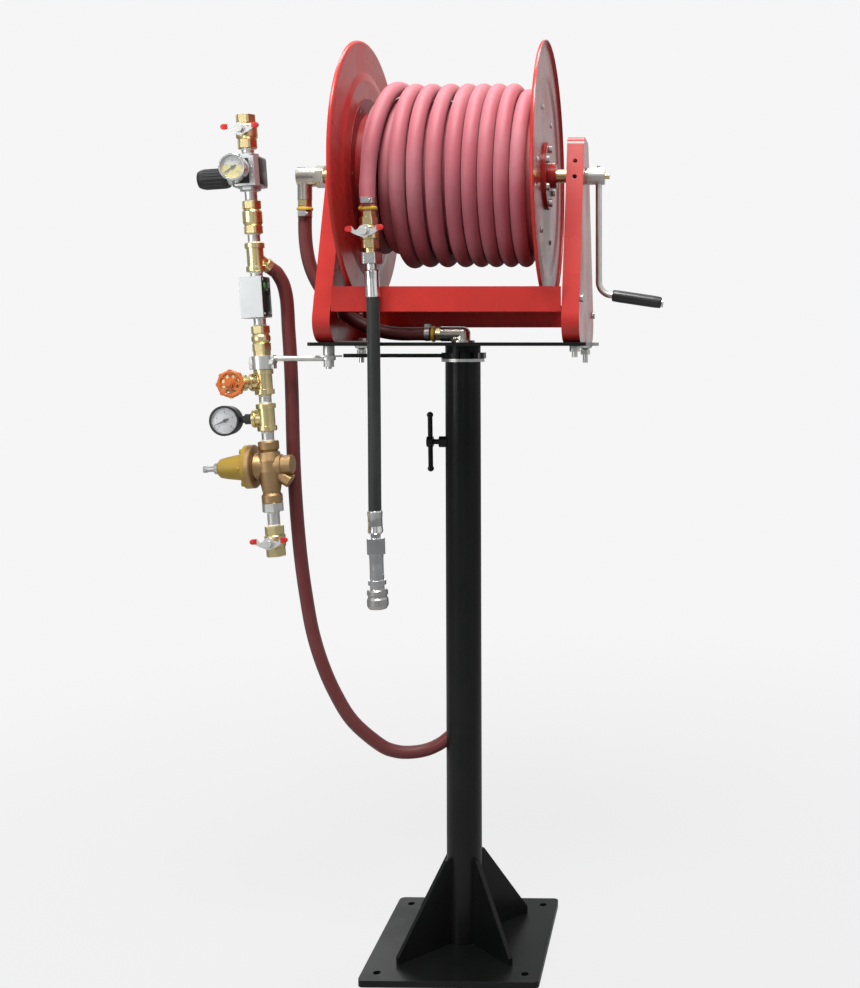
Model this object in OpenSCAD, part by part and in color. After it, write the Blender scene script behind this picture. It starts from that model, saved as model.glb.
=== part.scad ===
// Fire hose reel on a swivelling post stand, with its supply manifold.
// Millimetres. +X right, +Y away from the operator, +Z up.
// Origin at the centre of the underside of the base plate.

/* [Stand] */
// Side of the square base plate
base_side = 320; // [300:1:400]
// Thickness of the base plate
base_thick = 12; // [8:0.5:20]
// Distance between anchor holes along a side
anchor_pitch = 264; // [250:1:280]
// Diameter of an anchor hole
anchor_hole = 13.5; // [9:0.5:18]
// Outside diameter of the post
post_d = 65.5; // [62:0.5:75]
// Wall of the post
post_wall = 5; // [4:0.5:6]
// Height of the post top above the floor
post_top = 1098; // [1080:1:1120]
// Height of a gusset above the base plate
gusset_h = 158; // [100:1:200]
// Reach of a gusset from the post axis
gusset_reach = 145; // [110:1:150]
// Thickness of a gusset
gusset_t = 8; // [5:0.5:12]
// Height of the hole where the supply hose enters the post
hose_entry_z = 386; // [380:1:392]
// Height of the lock screw
lock_z = 948; // [900:1:1000]
// Length of the cross bar of the lock screw
lock_bar = 101; // [70:1:130]

/* [Head] */
// Thickness of the thrust washer on the post
washer_t = 5.7; // [3:0.1:7]
// Diameter of the washer and the clamp collar
collar_d = 80; // [74:1:90]
// Height of the clamp collar
collar_h = 11; // [8:0.5:12]
// Wall of the swivel stem
stem_wall = 5; // [4:0.5:6]
// Length of the swivel stem inside the post
stem_reach = 238; // [200:1:260]
// Length of the turning arm from the post axis
arm_reach = 227; // [150:1:240]
// Overhang of the deck plate beyond each side frame
deck_side = 11.5; // [8:0.5:26]
// Depth of the deck plate
deck_w = 300; // [296:1:330]
// Thickness of the deck plate
deck_t = 6.35; // [5:0.05:8]
// Clear distance between the webs of the side frames
web_gap = 461; // [458:0.5:466]
// Height of a side frame
frame_h = 377; // [372:1:390]
// Depth of a side frame at its widest
frame_w = 310; // [306:1:316]
// Depth of a side frame at its top
frame_top_w = 96; // [90:1:110]
// Sheet thickness of frames and beams
sheet_t = 3; // [2:0.25:3.5]
// Width of the flange round a side frame
flange_w = 31; // [28:0.5:33]
// Height of a beam
beam_h = 44; // [38:1:45]
// Height of the lower edge of the front beam above the deck
beam_z = 54; // [50:1:56]

/* [Drum] */
// Height of the drum axis above the deck
axis_h = 310; // [309:0.5:312]
// Diameter of a drum disc
disc_d = 492; // [480:1:510]
// Sheet thickness of a disc
disc_t = 2; // [1.5:0.25:2.5]
// Clear width between the discs at the core
drum_w = 326; // [324:0.5:326]
// Depth of the dish of a disc
dish = 3; // [3:0.5:8]
// Width of the lip of a disc
lip_w = 5; // [4:0.5:14]
// Diameter of the drum core
core_d = 232; // [220:1:232]
// Diameter of the drum shaft
shaft_d = 25; // [22:0.5:27]
// Bore of the drum shaft
shaft_bore = 15; // [10:0.5:17]
// Number of rivets in a disc
rivets = 6; // [4:1:8]
// Radius of the rivet circle
rivet_r = 131; // [126:1:134]
// Radius of the crank
crank_r = 228; // [200:1:240]
// Length of the crank grip
grip_l = 92; // [80:1:110]
// Diameter of the crank grip
grip_d = 22.5; // [20:0.5:28]

/* [Hose] */
// Outside diameter of the reel hose
hose_d = 27.5; // [26.5:0.1:27.6]
// Outside diameter of the supply hose
supply_d = 24; // [20:0.5:25]
// Outside diameter of the inlet hose
inlet_d = 25; // [22:0.5:26]
// Outside diameter of the whip at the hose end
whip_d = 22.5; // [18:0.5:24]
// Radius of the centre line of the outer turns
outer_r = 155.5; // [155:0.1:157]
// Radius of the centre line of the first turns
first_r = 131; // [130.4:0.1:131.2]

/* [Manifold] */
// Tilt of the manifold from the vertical, in degrees
pipe_tilt = 3.7; // [3:0.1:4.5]
// Diameter of the pipe nipples
nipple_d = 21.3; // [19:0.1:23]
// Port of the ball valves
port_d = 14; // [10:0.5:16]
// Diameter of the inlet regulator gauge
reg_gauge_d = 47; // [40:1:52]
// Diameter of the lower pressure gauge
gauge_d = 54; // [46:1:58]
// Diameter of the globe valve hand wheel
wheel_d = 51; // [44:1:58]
// Length of a ball valve handle from tip to tip
handle_l = 66; // [60:1:78]
// Travel of the coupler sleeve
sleeve_travel = 6; // [4:0.5:7]

/* [Hidden] */
$fn = 48;

seat = 0.3;          // gap between pieces that move past each other
run = 0.05;          // radial clearance of a running fit
bolt_play = 0.25;    // radial clearance of a bolt in its hole
fuse = 1;            // overlap that joins two shapes of one casting

deck_top = post_top + washer_t + seat + collar_h + 12.65 + deck_t;
deck_under = deck_top - deck_t;
post_bore = post_d - 2 * post_wall;
stem_d = post_bore - 2 * run;
stem_bore = stem_d - 2 * stem_wall;
axis_z = deck_top + axis_h;
frame_l = -(web_gap / 2 + sheet_t) - 1.5;
frame_r = web_gap / 2 + sheet_t - 1.5;
deck_l = frame_r - frame_l + 2 * deck_side;
disc_r = disc_d / 2;
core_r = core_d / 2;
drum_mid = -8;
disc_in_r = drum_mid + drum_w / 2;
disc_in_l = drum_mid - drum_w / 2;
hub_bolt_r = 50;
screw_d = 10;
bolt_d = 8;

// Turns the Z axis of its children to +X.
module along_x() rotate([0, 90, 0]) children();
// Turns the Z axis of its children to -Y, towards the operator.
module to_front() rotate([90, 0, 0]) children();
// Tube with its foot at z = 0.
module pipe(d, bore, h) difference() {
    cylinder(d = d, h = h);
    translate([0, 0, -fuse]) cylinder(d = bore, h = h + 2 * fuse);
}
// Hexagonal prism of a given width across flats, with turned corners.
module hex(flats, h) intersection() {
    cylinder(d = flats / cos(30), h = h, $fn = 6);
    cylinder(d = flats * 1.09, h = h);
}
// Hexagonal nut with a bore.
module nut(flats, bore, h) difference() {
    hex(flats, h);
    translate([0, 0, -fuse]) cylinder(d = bore, h = h + 2 * fuse);
}
// Revolved solid from points [radius, height].
module turned(points) rotate_extrude() polygon(points);
// Ring with round edges: radius r to the centre of its section.
module ring(r, section) rotate_extrude() translate([r, 0]) circle(d = section, $fn = 24);
// Hexagon head bolt along +Z with its head below z = 0.
module bolt(d, length, head_h) {
    translate([0, 0, -head_h]) hex(1.6 * d, head_h);
    cylinder(d = d, h = length);
}
// Plate with rounded corners, centred, from z = 0.
module plate(l, w, h, r) linear_extrude(h) rounded(l, w, r);
module rounded(l, w, r) {
    square([l - 2 * r, w], center = true);
    square([l, w - 2 * r], center = true);
    for (x = [-1, 1], y = [-1, 1]) translate([x * (l / 2 - r), y * (w / 2 - r)]) circle(r = r);
}

// Sweep: rings of points square to the path, joined by triangles, closed at both ends.
function unit(v) = v / norm(v);
function heading(p, i) = unit(p[min(i + 1, len(p) - 1)] - p[max(i - 1, 0)]);
function carried(u, t) = unit(u - (u * t) * t);
function side_dirs(p, i = 0, u = [0.02, 1, 0.03]) =
    i >= len(p) ? [] : let (v = carried(u, heading(p, i))) concat([v], side_dirs(p, i + 1, v));
function tube_points(p, d, n, dirs) = [for (i = [0 : len(p) - 1])
    let (t = heading(p, i), a = dirs[i], b = cross(t, a))
    for (k = [0 : n - 1]) p[i] + d / 2 * (cos(360 * k / n) * a + sin(360 * k / n) * b)];
function tube_faces(m, n) = concat(
    [for (k = [1 : n - 2]) [0, k, k + 1]],
    [for (i = [0 : m - 2], k = [0 : n - 1]) each let (a = i * n + k, b = i * n + (k + 1) % n)
        [[a, a + n, b + n], [a, b + n, b]]],
    [for (k = [1 : n - 2]) [(m - 1) * n, (m - 1) * n + k + 1, (m - 1) * n + k]]);
module tube(p, d, n) polyhedron(tube_points(p, d, n, side_dirs(p)), tube_faces(len(p), n));
// Smooth curve through hand-set points, with steps between each pair.
function curve_at(a, b, c, e, t) = 0.5 * (2 * b + (c - a) * t + (2 * a - 5 * b + 4 * c - e) * t * t
    + (3 * b - a - 3 * c + e) * t * t * t);
function smooth(p, steps) = [for (i = [0 : len(p) - 2], s = [0 : steps - 1])
    let (a = p[max(i - 1, 0)], e = p[min(i + 2, len(p) - 1)]) curve_at(a, p[i], p[i + 1], e, s / steps),
    p[len(p) - 1]];

// ---- Stand ----
module anchor_places() for (x = [-1, 1], y = [-1, 1])
    translate([x * anchor_pitch / 2, y * anchor_pitch / 2, 0]) children();
module base_plate() color("dimgray") difference() {
    plate(base_side, base_side, base_thick, 10);
    anchor_places() translate([0, 0, -fuse]) cylinder(d = anchor_hole, h = base_thick + 2 * fuse);
}
module base_gussets() color("dimgray") difference() {
    for (a = [45 : 90 : 315]) rotate([0, 0, a]) translate([0, gusset_t / 2, base_thick])
        rotate([90, 0, 0]) linear_extrude(gusset_t) polygon([[post_d / 2 - 2, 0], [gusset_reach, 0],
            [gusset_reach, 12], [post_d / 2 + 10, gusset_h], [post_d / 2 - 2, gusset_h]]);
    cylinder(d = post_d, h = base_thick + gusset_h + fuse);
}
entry_hole = supply_d + 5;
entry_slope = 38;
boss_d = 21;
boss_reach = 12;
module post() color("dimgray") difference() {
    union() {
        translate([0, 0, base_thick]) cylinder(d = post_d, h = post_top - base_thick);
        translate([-post_d / 2 - boss_reach, 0, lock_z]) along_x() cylinder(d = boss_d, h = boss_reach + 4);
    }
    translate([0, 0, base_thick - fuse]) cylinder(d = post_bore, h = post_top);
    translate([-post_d / 2 + post_wall / 2, 0, hose_entry_z + 4]) rotate([0, 90 - entry_slope, 0])
        cylinder(d = entry_hole, h = 50, center = true);
    translate([-post_d, 0, lock_z]) along_x() cylinder(d = screw_d + 2 * run, h = post_d);
}
module thrust_washer() color("silver") translate([0, 0, post_top])
    pipe(collar_d, stem_d + 2 * run, washer_t);
lock_hub_x = -post_d / 2 - boss_reach - 17;
module lock_handle() color("gray") {
    translate([-stem_d / 2 - seat, 0, lock_z]) rotate([0, -90, 0])
        cylinder(d = screw_d, h = -lock_hub_x - stem_d / 2 - seat);
    translate([lock_hub_x - 6, 0, lock_z]) along_x() cylinder(d = 20, h = 11);
    translate([lock_hub_x, 0, lock_z]) rotate([3, 0, 0]) {
        translate([0, 0, -lock_bar / 2]) cylinder(d = 9, h = lock_bar);
        for (s = [-1, 1]) translate([0, 0, s * lock_bar / 2]) sphere(d = 12);
    }
}
supply_route = [
    [-327.6, -97.6, 1267.9], [-323.6, -94.2, 1264], [-318.6, -90, 1259.2], [-310, -82.8, 1240.5],
    [-305.4, -79, 1217.2], [-303.5, -78, 1193], [-302, -78, 1160], [-299.5, -78, 1120],
    [-297.5, -78, 1075], [-296, -78.5, 1030], [-295, -79, 980], [-294, -78, 925], [-292, -76, 865],
    [-289, -72, 800], [-285, -66, 735], [-278, -61, 670], [-268, -57, 605],
    [-252, -53, 545], [-230, -46, 487], [-200, -36, 431], [-153, -24, 384], [-125, -16, 369],
    [-98, -9, 365], [-70, -3, 368], [-46, 0, 378], [-30, 0, 390], [-15, 0, 404], [-3.5, 0, 420],
    [5, 0, 441], [9.5, 0, 462], [10.5, 0, 490], [8, 0, 550], [3, 0, 620],
    [0, 0, 700], [0, 0, 780], [0, 0, 860], [0, 0, 940], [0, 0, 1020], [0, 0, 1060], [0, 0, 1100]];
module supply_hose() color("firebrick") tube(smooth(supply_route, 2), supply_d, 8);

// ---- Turning head ----
module swivel_stem() color("gray") translate([0, 0, post_top - stem_reach])
    pipe(stem_d, stem_bore, deck_under - post_top + stem_reach);
collar_z = post_top + washer_t + seat;
module clamp_collar() color("dimgray") difference() {
    union() {
        translate([0, 0, collar_z]) cylinder(d = collar_d, h = collar_h);
        translate([28, -collar_d / 2 - 4, collar_z]) cube([8, collar_d + 8, collar_h]);
        translate([0, 0, collar_z + collar_h]) cylinder(d = post_d, h = deck_under - collar_z - collar_h);
    }
    translate([0, 0, collar_z - fuse]) cylinder(d = stem_d, h = deck_under - collar_z + 2 * fuse);
    translate([0, -collar_d, collar_z - fuse]) cube([2, 2 * collar_d, collar_h + fuse]);
}
arm_t = 7;
module turning_arm() color("dimgray") translate([0, 0, collar_z + (collar_h - arm_t) / 2]) difference() {
    union() {
        linear_extrude(arm_t) polygon([[-collar_d / 2 + 2, -16], [-collar_d / 2 + 2, 16],
            [-arm_reach + 12, 10], [-arm_reach + 12, -10]]);
        translate([-arm_reach + 12, 0, 0]) cylinder(d = 20, h = arm_t);
    }
    translate([0, 0, -fuse]) cylinder(d = collar_d, h = arm_t + 2 * fuse);
    translate([-arm_reach + 12, 0, -fuse]) cylinder(d = 9, h = arm_t + 2 * fuse);
}
foot_x_l = frame_l + 15;
foot_x_r = frame_r - 12;
foot_y = 107;
module foot_places() for (x = [foot_x_l, foot_x_r], y = [-foot_y, foot_y]) translate([x, y, 0]) children();
riser_hole = 38;
module deck_plate() color("#1c211f") difference() {
    translate([(frame_l + frame_r) / 2, 0, deck_under]) plate(deck_l, deck_w, deck_t, 6);
    translate([0, 0, deck_under - fuse]) cylinder(d = riser_hole, h = deck_t + 2 * fuse);
    foot_places() translate([0, 0, deck_under - fuse]) cylinder(d = bolt_d + 2 + 2 * bolt_play, h = deck_t + 2 * fuse);
}
// Outline of a side frame: a trapezoid with round corners, as circles [y, z, radius] joined by tangents.
foot_r = 38;
top_r = 20;
function corners() = [
    [-(frame_w / 2 - foot_r), foot_r, foot_r], [frame_w / 2 - foot_r, foot_r, foot_r],
    [frame_top_w / 2 - top_r, frame_h - top_r, top_r], [-(frame_top_w / 2 - top_r), frame_h - top_r, top_r]];
function tangent(a, b) = let (d = [b[0] - a[0], b[1] - a[1]])
    atan2(d[1], d[0]) - 90 + asin((a[2] - b[2]) / norm(d));
module tray_outline(inset) {
    c = corners();
    polygon([for (i = [0 : 3]) each let (a = c[i], b = c[(i + 1) % 4], g = tangent(a, b))
        [[a[0] + (a[2] - inset) * cos(g), a[1] + (a[2] - inset) * sin(g)],
         [b[0] + (b[2] - inset) * cos(g), b[1] + (b[2] - inset) * sin(g)]]]);
    for (p = c) translate([p[0], p[1]]) circle(r = p[2] - inset);
}
// Pressed side frame with its web at x = 0 and its flange towards +X.
module tray() difference() {
    translate([0, 0, deck_top]) rotate([90, 0, 90]) linear_extrude(flange_w) tray_outline(0);
    translate([sheet_t, 0, deck_top]) rotate([90, 0, 90]) linear_extrude(flange_w) tray_outline(sheet_t);
}
bearing_bolt = 26;
beam_bolt_y = 125;
beam_y = 150;
beam_drop = 24;
beam_bolt_z = 24;
web_holes_z = [beam_z + beam_bolt_z, beam_z - beam_drop + beam_bolt_z];
small_holes = [300, 330];
module frame_cuts() {
    translate([-flange_w, 0, axis_z]) along_x() cylinder(d = shaft_d + 6, h = 2 * flange_w);
    for (s = [-1, 1]) translate([-flange_w, s * bearing_bolt, axis_z]) along_x()
        cylinder(d = bolt_d + 2 * bolt_play, h = 2 * flange_w);
    for (i = [0, 1]) translate([-flange_w, (i == 0 ? -1 : 1) * beam_bolt_y, deck_top + web_holes_z[i]])
        along_x() cylinder(d = bolt_d + 2 * bolt_play, h = 2 * flange_w);
}
module foot_cuts() for (y = [-foot_y, foot_y]) translate([0, y, deck_top - fuse])
    cylinder(d = bolt_d + 2 + 2 * bolt_play, h = sheet_t + 2 * fuse);
module front_holes() for (z = small_holes) translate([flange_w / 2, 0, deck_top + z])
    to_front() cylinder(d = 8, h = frame_w);
module side_frame_left() color("crimson") difference() {
    translate([frame_l, 0, 0]) tray();
    translate([frame_l, 0, 0]) frame_cuts();
    translate([foot_x_l, 0, 0]) foot_cuts();
    translate([frame_l, 0, 0]) front_holes();
    translate([frame_l - fuse, 0, hose_pass_z]) along_x() cylinder(d = inlet_d + 14, h = sheet_t + 2 * fuse);
}
hose_pass_z = 1199.5;
module side_frame_right() color("crimson") difference() {
    translate([frame_r, 0, 0]) mirror([1, 0, 0]) tray();
    translate([frame_r, 0, 0]) frame_cuts();
    translate([foot_x_r, 0, 0]) foot_cuts();
    translate([frame_r, 0, 0]) mirror([1, 0, 0]) front_holes();
}
ear_in = 17;
ear_w = 21;
beam_l = frame_l + flange_w + 1;
beam_r = frame_r - flange_w - 1;
module beam() {
    translate([beam_l, -beam_y, 0]) cube([beam_r - beam_l, sheet_t, beam_h]);
    translate([beam_l, -beam_y, 0]) cube([beam_r - beam_l, 31, sheet_t]);
    translate([frame_l + sheet_t, -beam_y + ear_in, 0])
        cube([frame_r - frame_l - 2 * sheet_t, ear_w, sheet_t]);
    for (x = [frame_l + sheet_t, frame_r - 2 * sheet_t]) difference() {
        translate([x, -beam_y + ear_in, 0]) cube([sheet_t, ear_w, beam_h - 4]);
        translate([x - fuse, -beam_bolt_y, beam_bolt_z]) along_x()
            cylinder(d = bolt_d + 2 * bolt_play, h = sheet_t + 2 * fuse);
    }
}
module frame_beams() color("crimson") {
    translate([0, 0, deck_top + beam_z]) beam();
    translate([0, 0, deck_top + beam_z - beam_drop]) mirror([0, 1, 0]) beam();
}
bearing_t = 8;
bearing_barrel = 20;
module bearing_half() difference() {
    union() {
        hull() {
            cylinder(d = shaft_d + 18, h = bearing_t, $fn = 32);
            for (s = [-1, 1]) translate([0, s * bearing_bolt, 0]) cylinder(d = 20, h = bearing_t, $fn = 32);
        }
        cylinder(d = shaft_d + 12, h = bearing_barrel);
    }
    translate([0, 0, -fuse]) cylinder(d = shaft_d + 2 * run, h = bearing_barrel + 2 * fuse);
    for (s = [-1, 1]) translate([0, s * bearing_bolt, -fuse])
        cylinder(d = bolt_d + 2 * bolt_play, h = bearing_t + 2 * fuse);
}
module shaft_bearings() color("dimgray") {
    translate([frame_l + sheet_t, 0, axis_z]) along_x() bearing_half();
    translate([frame_r - sheet_t, 0, axis_z]) rotate([0, -90, 0]) bearing_half();
}
head_h = 5;
web_grip = sheet_t + bearing_t;
module web_bolts() {
    for (s = [-1, 1]) translate([0, s * bearing_bolt, axis_z]) {
        along_x() bolt(bolt_d, web_grip + 7, head_h);
        translate([web_grip, 0, 0]) along_x() nut(13, bolt_d, 6);
    }
    for (i = [0, 1]) translate([0, (i == 0 ? -1 : 1) * beam_bolt_y, deck_top + web_holes_z[i]]) {
        along_x() bolt(bolt_d, 2 * sheet_t + 7, head_h);
        translate([2 * sheet_t, 0, 0]) along_x() nut(13, bolt_d, 6);
    }
}
foot_bolt_d = bolt_d + 2;
foot_grip = sheet_t + deck_t;
module foot_bolt(length) translate([0, 0, deck_top + sheet_t]) mirror([0, 0, 1]) bolt(foot_bolt_d, length, 6);
module frame_bolts() color("silver") {
    translate([frame_l, 0, 0]) web_bolts();
    translate([frame_r, 0, 0]) mirror([1, 0, 0]) web_bolts();
    for (x = [foot_x_l, foot_x_r]) translate([x, foot_y, 0]) {
        foot_bolt(foot_grip + 33);
        translate([0, 0, deck_under - 7]) turned([[foot_bolt_d / 2, 0], [12, 3], [14, 7], [foot_bolt_d / 2, 7]]);
        translate([0, 0, deck_under - 17]) nut(17, foot_bolt_d, 10);
    }
    translate([foot_x_r, -foot_y, 0]) {
        foot_bolt(foot_grip + 20);
        translate([0, 0, deck_under - 10]) nut(17, foot_bolt_d, 10);
    }
    translate([foot_x_l, -foot_y, 0]) foot_bolt(foot_grip + 41);
}

// ---- Water way of the head ----
elbow_x = -296;
elbow_end = elbow_x + 24;
shaft_l = elbow_x + 11.5;
nut_len = 15;
leg_d = 28;
leg_z = deck_top + leg_d / 2 + 2;
inlet_top = axis_z - 55;
inlet_end = -50;
module inlet_elbows() color("silver") {
    difference() {
        union() {
            translate([elbow_x - 12, 0, axis_z]) along_x() cylinder(d = 37, h = elbow_end - elbow_x + 12);
            translate([elbow_end, 0, axis_z]) along_x() hex(38, nut_len);
            translate([elbow_x, 0, inlet_top + 12]) cylinder(d = 27, h = 43);
        }
        translate([elbow_x + 11, 0, axis_z]) along_x() cylinder(d = shaft_d + 2 * run, h = 60);
        translate([elbow_x, 0, axis_z]) along_x() cylinder(d = shaft_bore, h = 20);
        translate([elbow_x, 0, inlet_top]) cylinder(d = shaft_bore, h = 55);
    }
    difference() {
        union() {
            translate([inlet_end + 9, 0, leg_z]) along_x() cylinder(d = leg_d, h = -inlet_end - 9);
            translate([0, 0, leg_z]) sphere(d = leg_d);
            translate([0, 0, riser_end]) cylinder(d = leg_d, h = leg_z - riser_end);
            translate([0, 0, deck_top]) cylinder(d = riser_hole + 6, h = 4);
            translate([0, 0, deck_under - 6]) cylinder(d = riser_hole + 5, h = 6);
        }
        translate([inlet_end, 0, leg_z]) along_x() cylinder(d = shaft_bore, h = -inlet_end);
        translate([0, 0, riser_end - fuse]) cylinder(d = shaft_bore, h = leg_z - riser_end + fuse);
    }
}
riser_end = 1100;
inlet_route = [
    [-296, 0, 1389], [-296, 0, 1366], [-296, 0, 1342], [-294, 0, 1314], [-289, 0, 1286],
    [-280, 0, 1260], [-267, 0, 1236], [-250, 0, 1214], [-229, 0, 1194], [-205, 0, 1176],
    [-178, 0, 1163], [-149, 0, 1154], [-118, 0, 1150], [-84, 0, 1150], [-50, 0, 1150]];
module inlet_hose() color("firebrick") tube(smooth(inlet_route, 2), inlet_d, 12);
// Worm drive hose band.
module band(d) {
    difference() {
        union() {
            cylinder(d = d + 2, h = 9, center = true);
            translate([0, -d / 2 - 2.5, 0]) cube([14, 7, 10], center = true);
        }
        cylinder(d = d + 2 * run, h = 12, center = true);
    }
    translate([7, -d / 2 - 3, 0]) along_x() cylinder(d = 6, h = 3);
}
module collar_ring(d) difference() {
    turned([[0, -3], [d / 2 + 1.5, -3], [d / 2 + 2.5, -1.5], [d / 2 + 2.5, 1.5], [d / 2 + 1.5, 3], [0, 3]]);
    cylinder(d = d + 2 * run, h = 8, center = true);
}
module inlet_fittings() color("goldenrod") {
    translate([elbow_x, 0, inlet_top]) nut(24, shaft_bore, 12);
    translate([elbow_x, 0, inlet_top - 5]) collar_ring(inlet_d);
    translate([elbow_x, 0, inlet_top - 15]) band(inlet_d);
    translate([inlet_end, 0, leg_z]) along_x() rotate([0, 0, 30]) nut(25, shaft_bore, 9);
    translate([inlet_end - 5, 0, leg_z]) along_x() collar_ring(inlet_d);
    translate([inlet_end - 16, 0, leg_z]) along_x() rotate([0, 0, -90]) band(inlet_d);
}
pipe_x = -336;
pipe_y = -115;
pipe_z = 1098;
// Frame of the manifold: z runs up the pipe from the middle of the clamp.
module at_pipe(z = 0) translate([pipe_x, pipe_y, pipe_z]) rotate([0, -pipe_tilt, 0])
    translate([0, 0, z]) children();
clamp_h = 24;
clamp_pipe_d = 26.7;
clamp_half_l = 22;
spacer_h = 17;
eye_t = 6;
eye_top = deck_under - spacer_h - 2.5;
rod_d = 9.5;
rod_turn = atan((pipe_y + foot_y) / (pipe_x - foot_x_l));
module hanger_rod() color("silver") {
    translate([foot_x_l, -foot_y, deck_under - spacer_h]) pipe(20, foot_bolt_d, spacer_h);
    translate([foot_x_l, -foot_y, eye_top]) pipe(46, foot_bolt_d, 2.5);
    translate([foot_x_l, -foot_y, eye_top - eye_t - 12]) nut(17, foot_bolt_d, 12);
    difference() {
        union() {
            translate([foot_x_l, -foot_y, eye_top - eye_t]) cylinder(d = 24, h = eye_t);
            translate([foot_x_l, -foot_y, eye_top - eye_t / 2]) rotate([0, 0, rod_turn]) rotate([0, -90, 0])
                translate([0, 0, 8]) cylinder(d = rod_d, h = foot_x_l - pipe_x - clamp_half_l - 2);
        }
        translate([foot_x_l, -foot_y, eye_top - 2 * eye_t]) cylinder(d = foot_bolt_d, h = 3 * eye_t);
        at_pipe() cube([2 * clamp_half_l, 40, 60], center = true);
    }
}
module pipe_clamp() color("silver") at_pipe() {
    difference() {
        union() {
            cylinder(d = 38, h = clamp_h, center = true);
            cube([2 * clamp_half_l, 16, clamp_h], center = true);
        }
        cylinder(d = clamp_pipe_d, h = clamp_h + 2, center = true);
        cube([60, 1.6, clamp_h + 2], center = true);
        for (s = [-1, 1]) translate([s * 18, 10, 0]) to_front() cylinder(d = 5.4, h = 20);
    }
    for (s = [-1, 1]) translate([s * 18, 8, 0]) to_front() {
        cylinder(d = 5, h = 20);
        translate([0, 0, 16]) hex(8, 4);
        mirror([0, 0, 1]) hex(8, 4);
    }
}

// ---- Manifold ----
ball_d = 23;
ball_flat = 9.5;
stem_rod_d = 8;
plate_y = 31;
tip_r = 4;
tip_rise = 5;
// Ball valve body, its ball at the origin, its stem towards -Y; open_end is 1 or -1 for a socket at that end.
module valve_body(len, flats, barrel_d, open_end = 0) difference() {
    union() {
        translate([0, 0, len / 2 - 15]) hex(flats, 15);
        translate([0, 0, -len / 2]) hex(flats, 15);
        turned([[0, -len / 2 + 14], [flats * 0.45, -len / 2 + 14], [barrel_d / 2 - 1, -11],
            [barrel_d / 2, -9.5], [barrel_d / 2, 9.5], [barrel_d / 2 - 1, 11], [flats * 0.45, len / 2 - 14],
            [0, len / 2 - 14]]);
        to_front() cylinder(d = 18, h = 23);
        to_front() hex(15, 28);
    }
    cylinder(d = port_d, h = len + 2, center = true);
    sphere(d = ball_d + 2 * seat);
    if (open_end != 0) translate([0, 0, open_end * (len / 2 - inlet_port_deep / 2 + 1)])
        cylinder(d = inlet_port_d, h = inlet_port_deep + 2, center = true);
    to_front() cylinder(d = stem_rod_d + 2 * run, h = 40);
}
module valve_ball() difference() {
    sphere(d = ball_d);
    cylinder(d = port_d, h = ball_d + 2, center = true);
    translate([-20, -ball_flat - 20, -20]) cube([40, 20, 40]);
}
// Butterfly handle with its stem, seen from the front.
module valve_handle() {
    translate([0, -ball_flat, 0]) to_front() cylinder(d = stem_rod_d, h = plate_y + 4 - ball_flat);
    tip_x = handle_l / 2 - tip_r;
    translate([0, -plate_y, 0]) to_front() linear_extrude(3) {
        circle(d = 22);
        for (s = [-1, 1]) {
            polygon([[0, 8], [s * 9, 4], [s * 16, 2.5], [s * 21, tip_rise + tip_r],
                [s * tip_x, tip_rise + tip_r], [s * tip_x, tip_rise - tip_r],
                [s * 25, tip_rise - tip_r], [s * 18, -4], [s * 9, -8], [0, -8]]);
            translate([s * tip_x, tip_rise]) circle(r = tip_r);
        }
    }
    translate([0, -plate_y - 3, 0]) to_front() hex(12, 6);
}
inlet_valve_len = 59;
inlet_valve_z = 410.5;
drain_valve_len = 54;
drain_valve_z = -319;
inlet_port_d = 20.8;
inlet_port_deep = 14;
module inlet_valve_body() color("silver") at_pipe(inlet_valve_z) valve_body(inlet_valve_len, 31, 37, 1);
module inlet_valve_ball() color("lightgray") at_pipe(inlet_valve_z) valve_ball();
module inlet_valve_handle() color("silver") at_pipe(inlet_valve_z) valve_handle();
module drain_valve_body() color("silver") at_pipe(drain_valve_z) valve_body(drain_valve_len, 31, 36, -1);
module drain_valve_ball() color("lightgray") at_pipe(drain_valve_z) valve_ball();
module drain_valve_handle() color("silver") at_pipe(drain_valve_z) valve_handle();

reg_z = 338;
reg_h = 64;
reg_w = 48;
reg_deep = 52;
knob_z = -7;
knob_pin = 10;
module regulator_body() color("whitesmoke") at_pipe(reg_z) difference() {
    union() {
        intersection() {
            cube([reg_w, reg_deep, reg_h - 12], center = true);
            rotate([0, 0, 45]) cube([62, 62, reg_h], center = true);
        }
        translate([0, 0, -reg_h / 2]) hex(34, reg_h);
        translate([-reg_w / 2 - 13, 0, knob_z]) along_x() cylinder(d = 26, h = 20);
        translate([-12, -reg_deep / 2 - 6, -16]) rotate([-90, 0, 0]) cylinder(d = 10, h = 8);
    }
    translate([-reg_w / 2 - 14, 0, knob_z]) along_x() cylinder(d = knob_pin + 2 * run, h = 22);
    translate([reg_gauge_x, -reg_deep / 2 - 1, reg_gauge_z]) rotate([-90, 0, 0]) cylinder(d = 11, h = 12);
}
module regulator_knob() color("#181818") at_pipe(reg_z) translate([-reg_w / 2 - 13 - seat, 0, knob_z])
    rotate([0, -90, 0]) {
        turned([[0, 0], [16.5, 0], [17.5, 2], [17.5, 46], [15, 52], [0, 52]]);
        for (a = [0 : 20 : 340]) rotate([0, 0, a]) translate([17, 0, 6]) cylinder(d = 3, h = 36, $fn = 16);
        mirror([0, 0, 1]) cylinder(d = knob_pin, h = 18);
    }
reg_gauge_x = -10;
reg_gauge_z = 3;
dial_deep = 5;
pin_d = 3;
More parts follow.
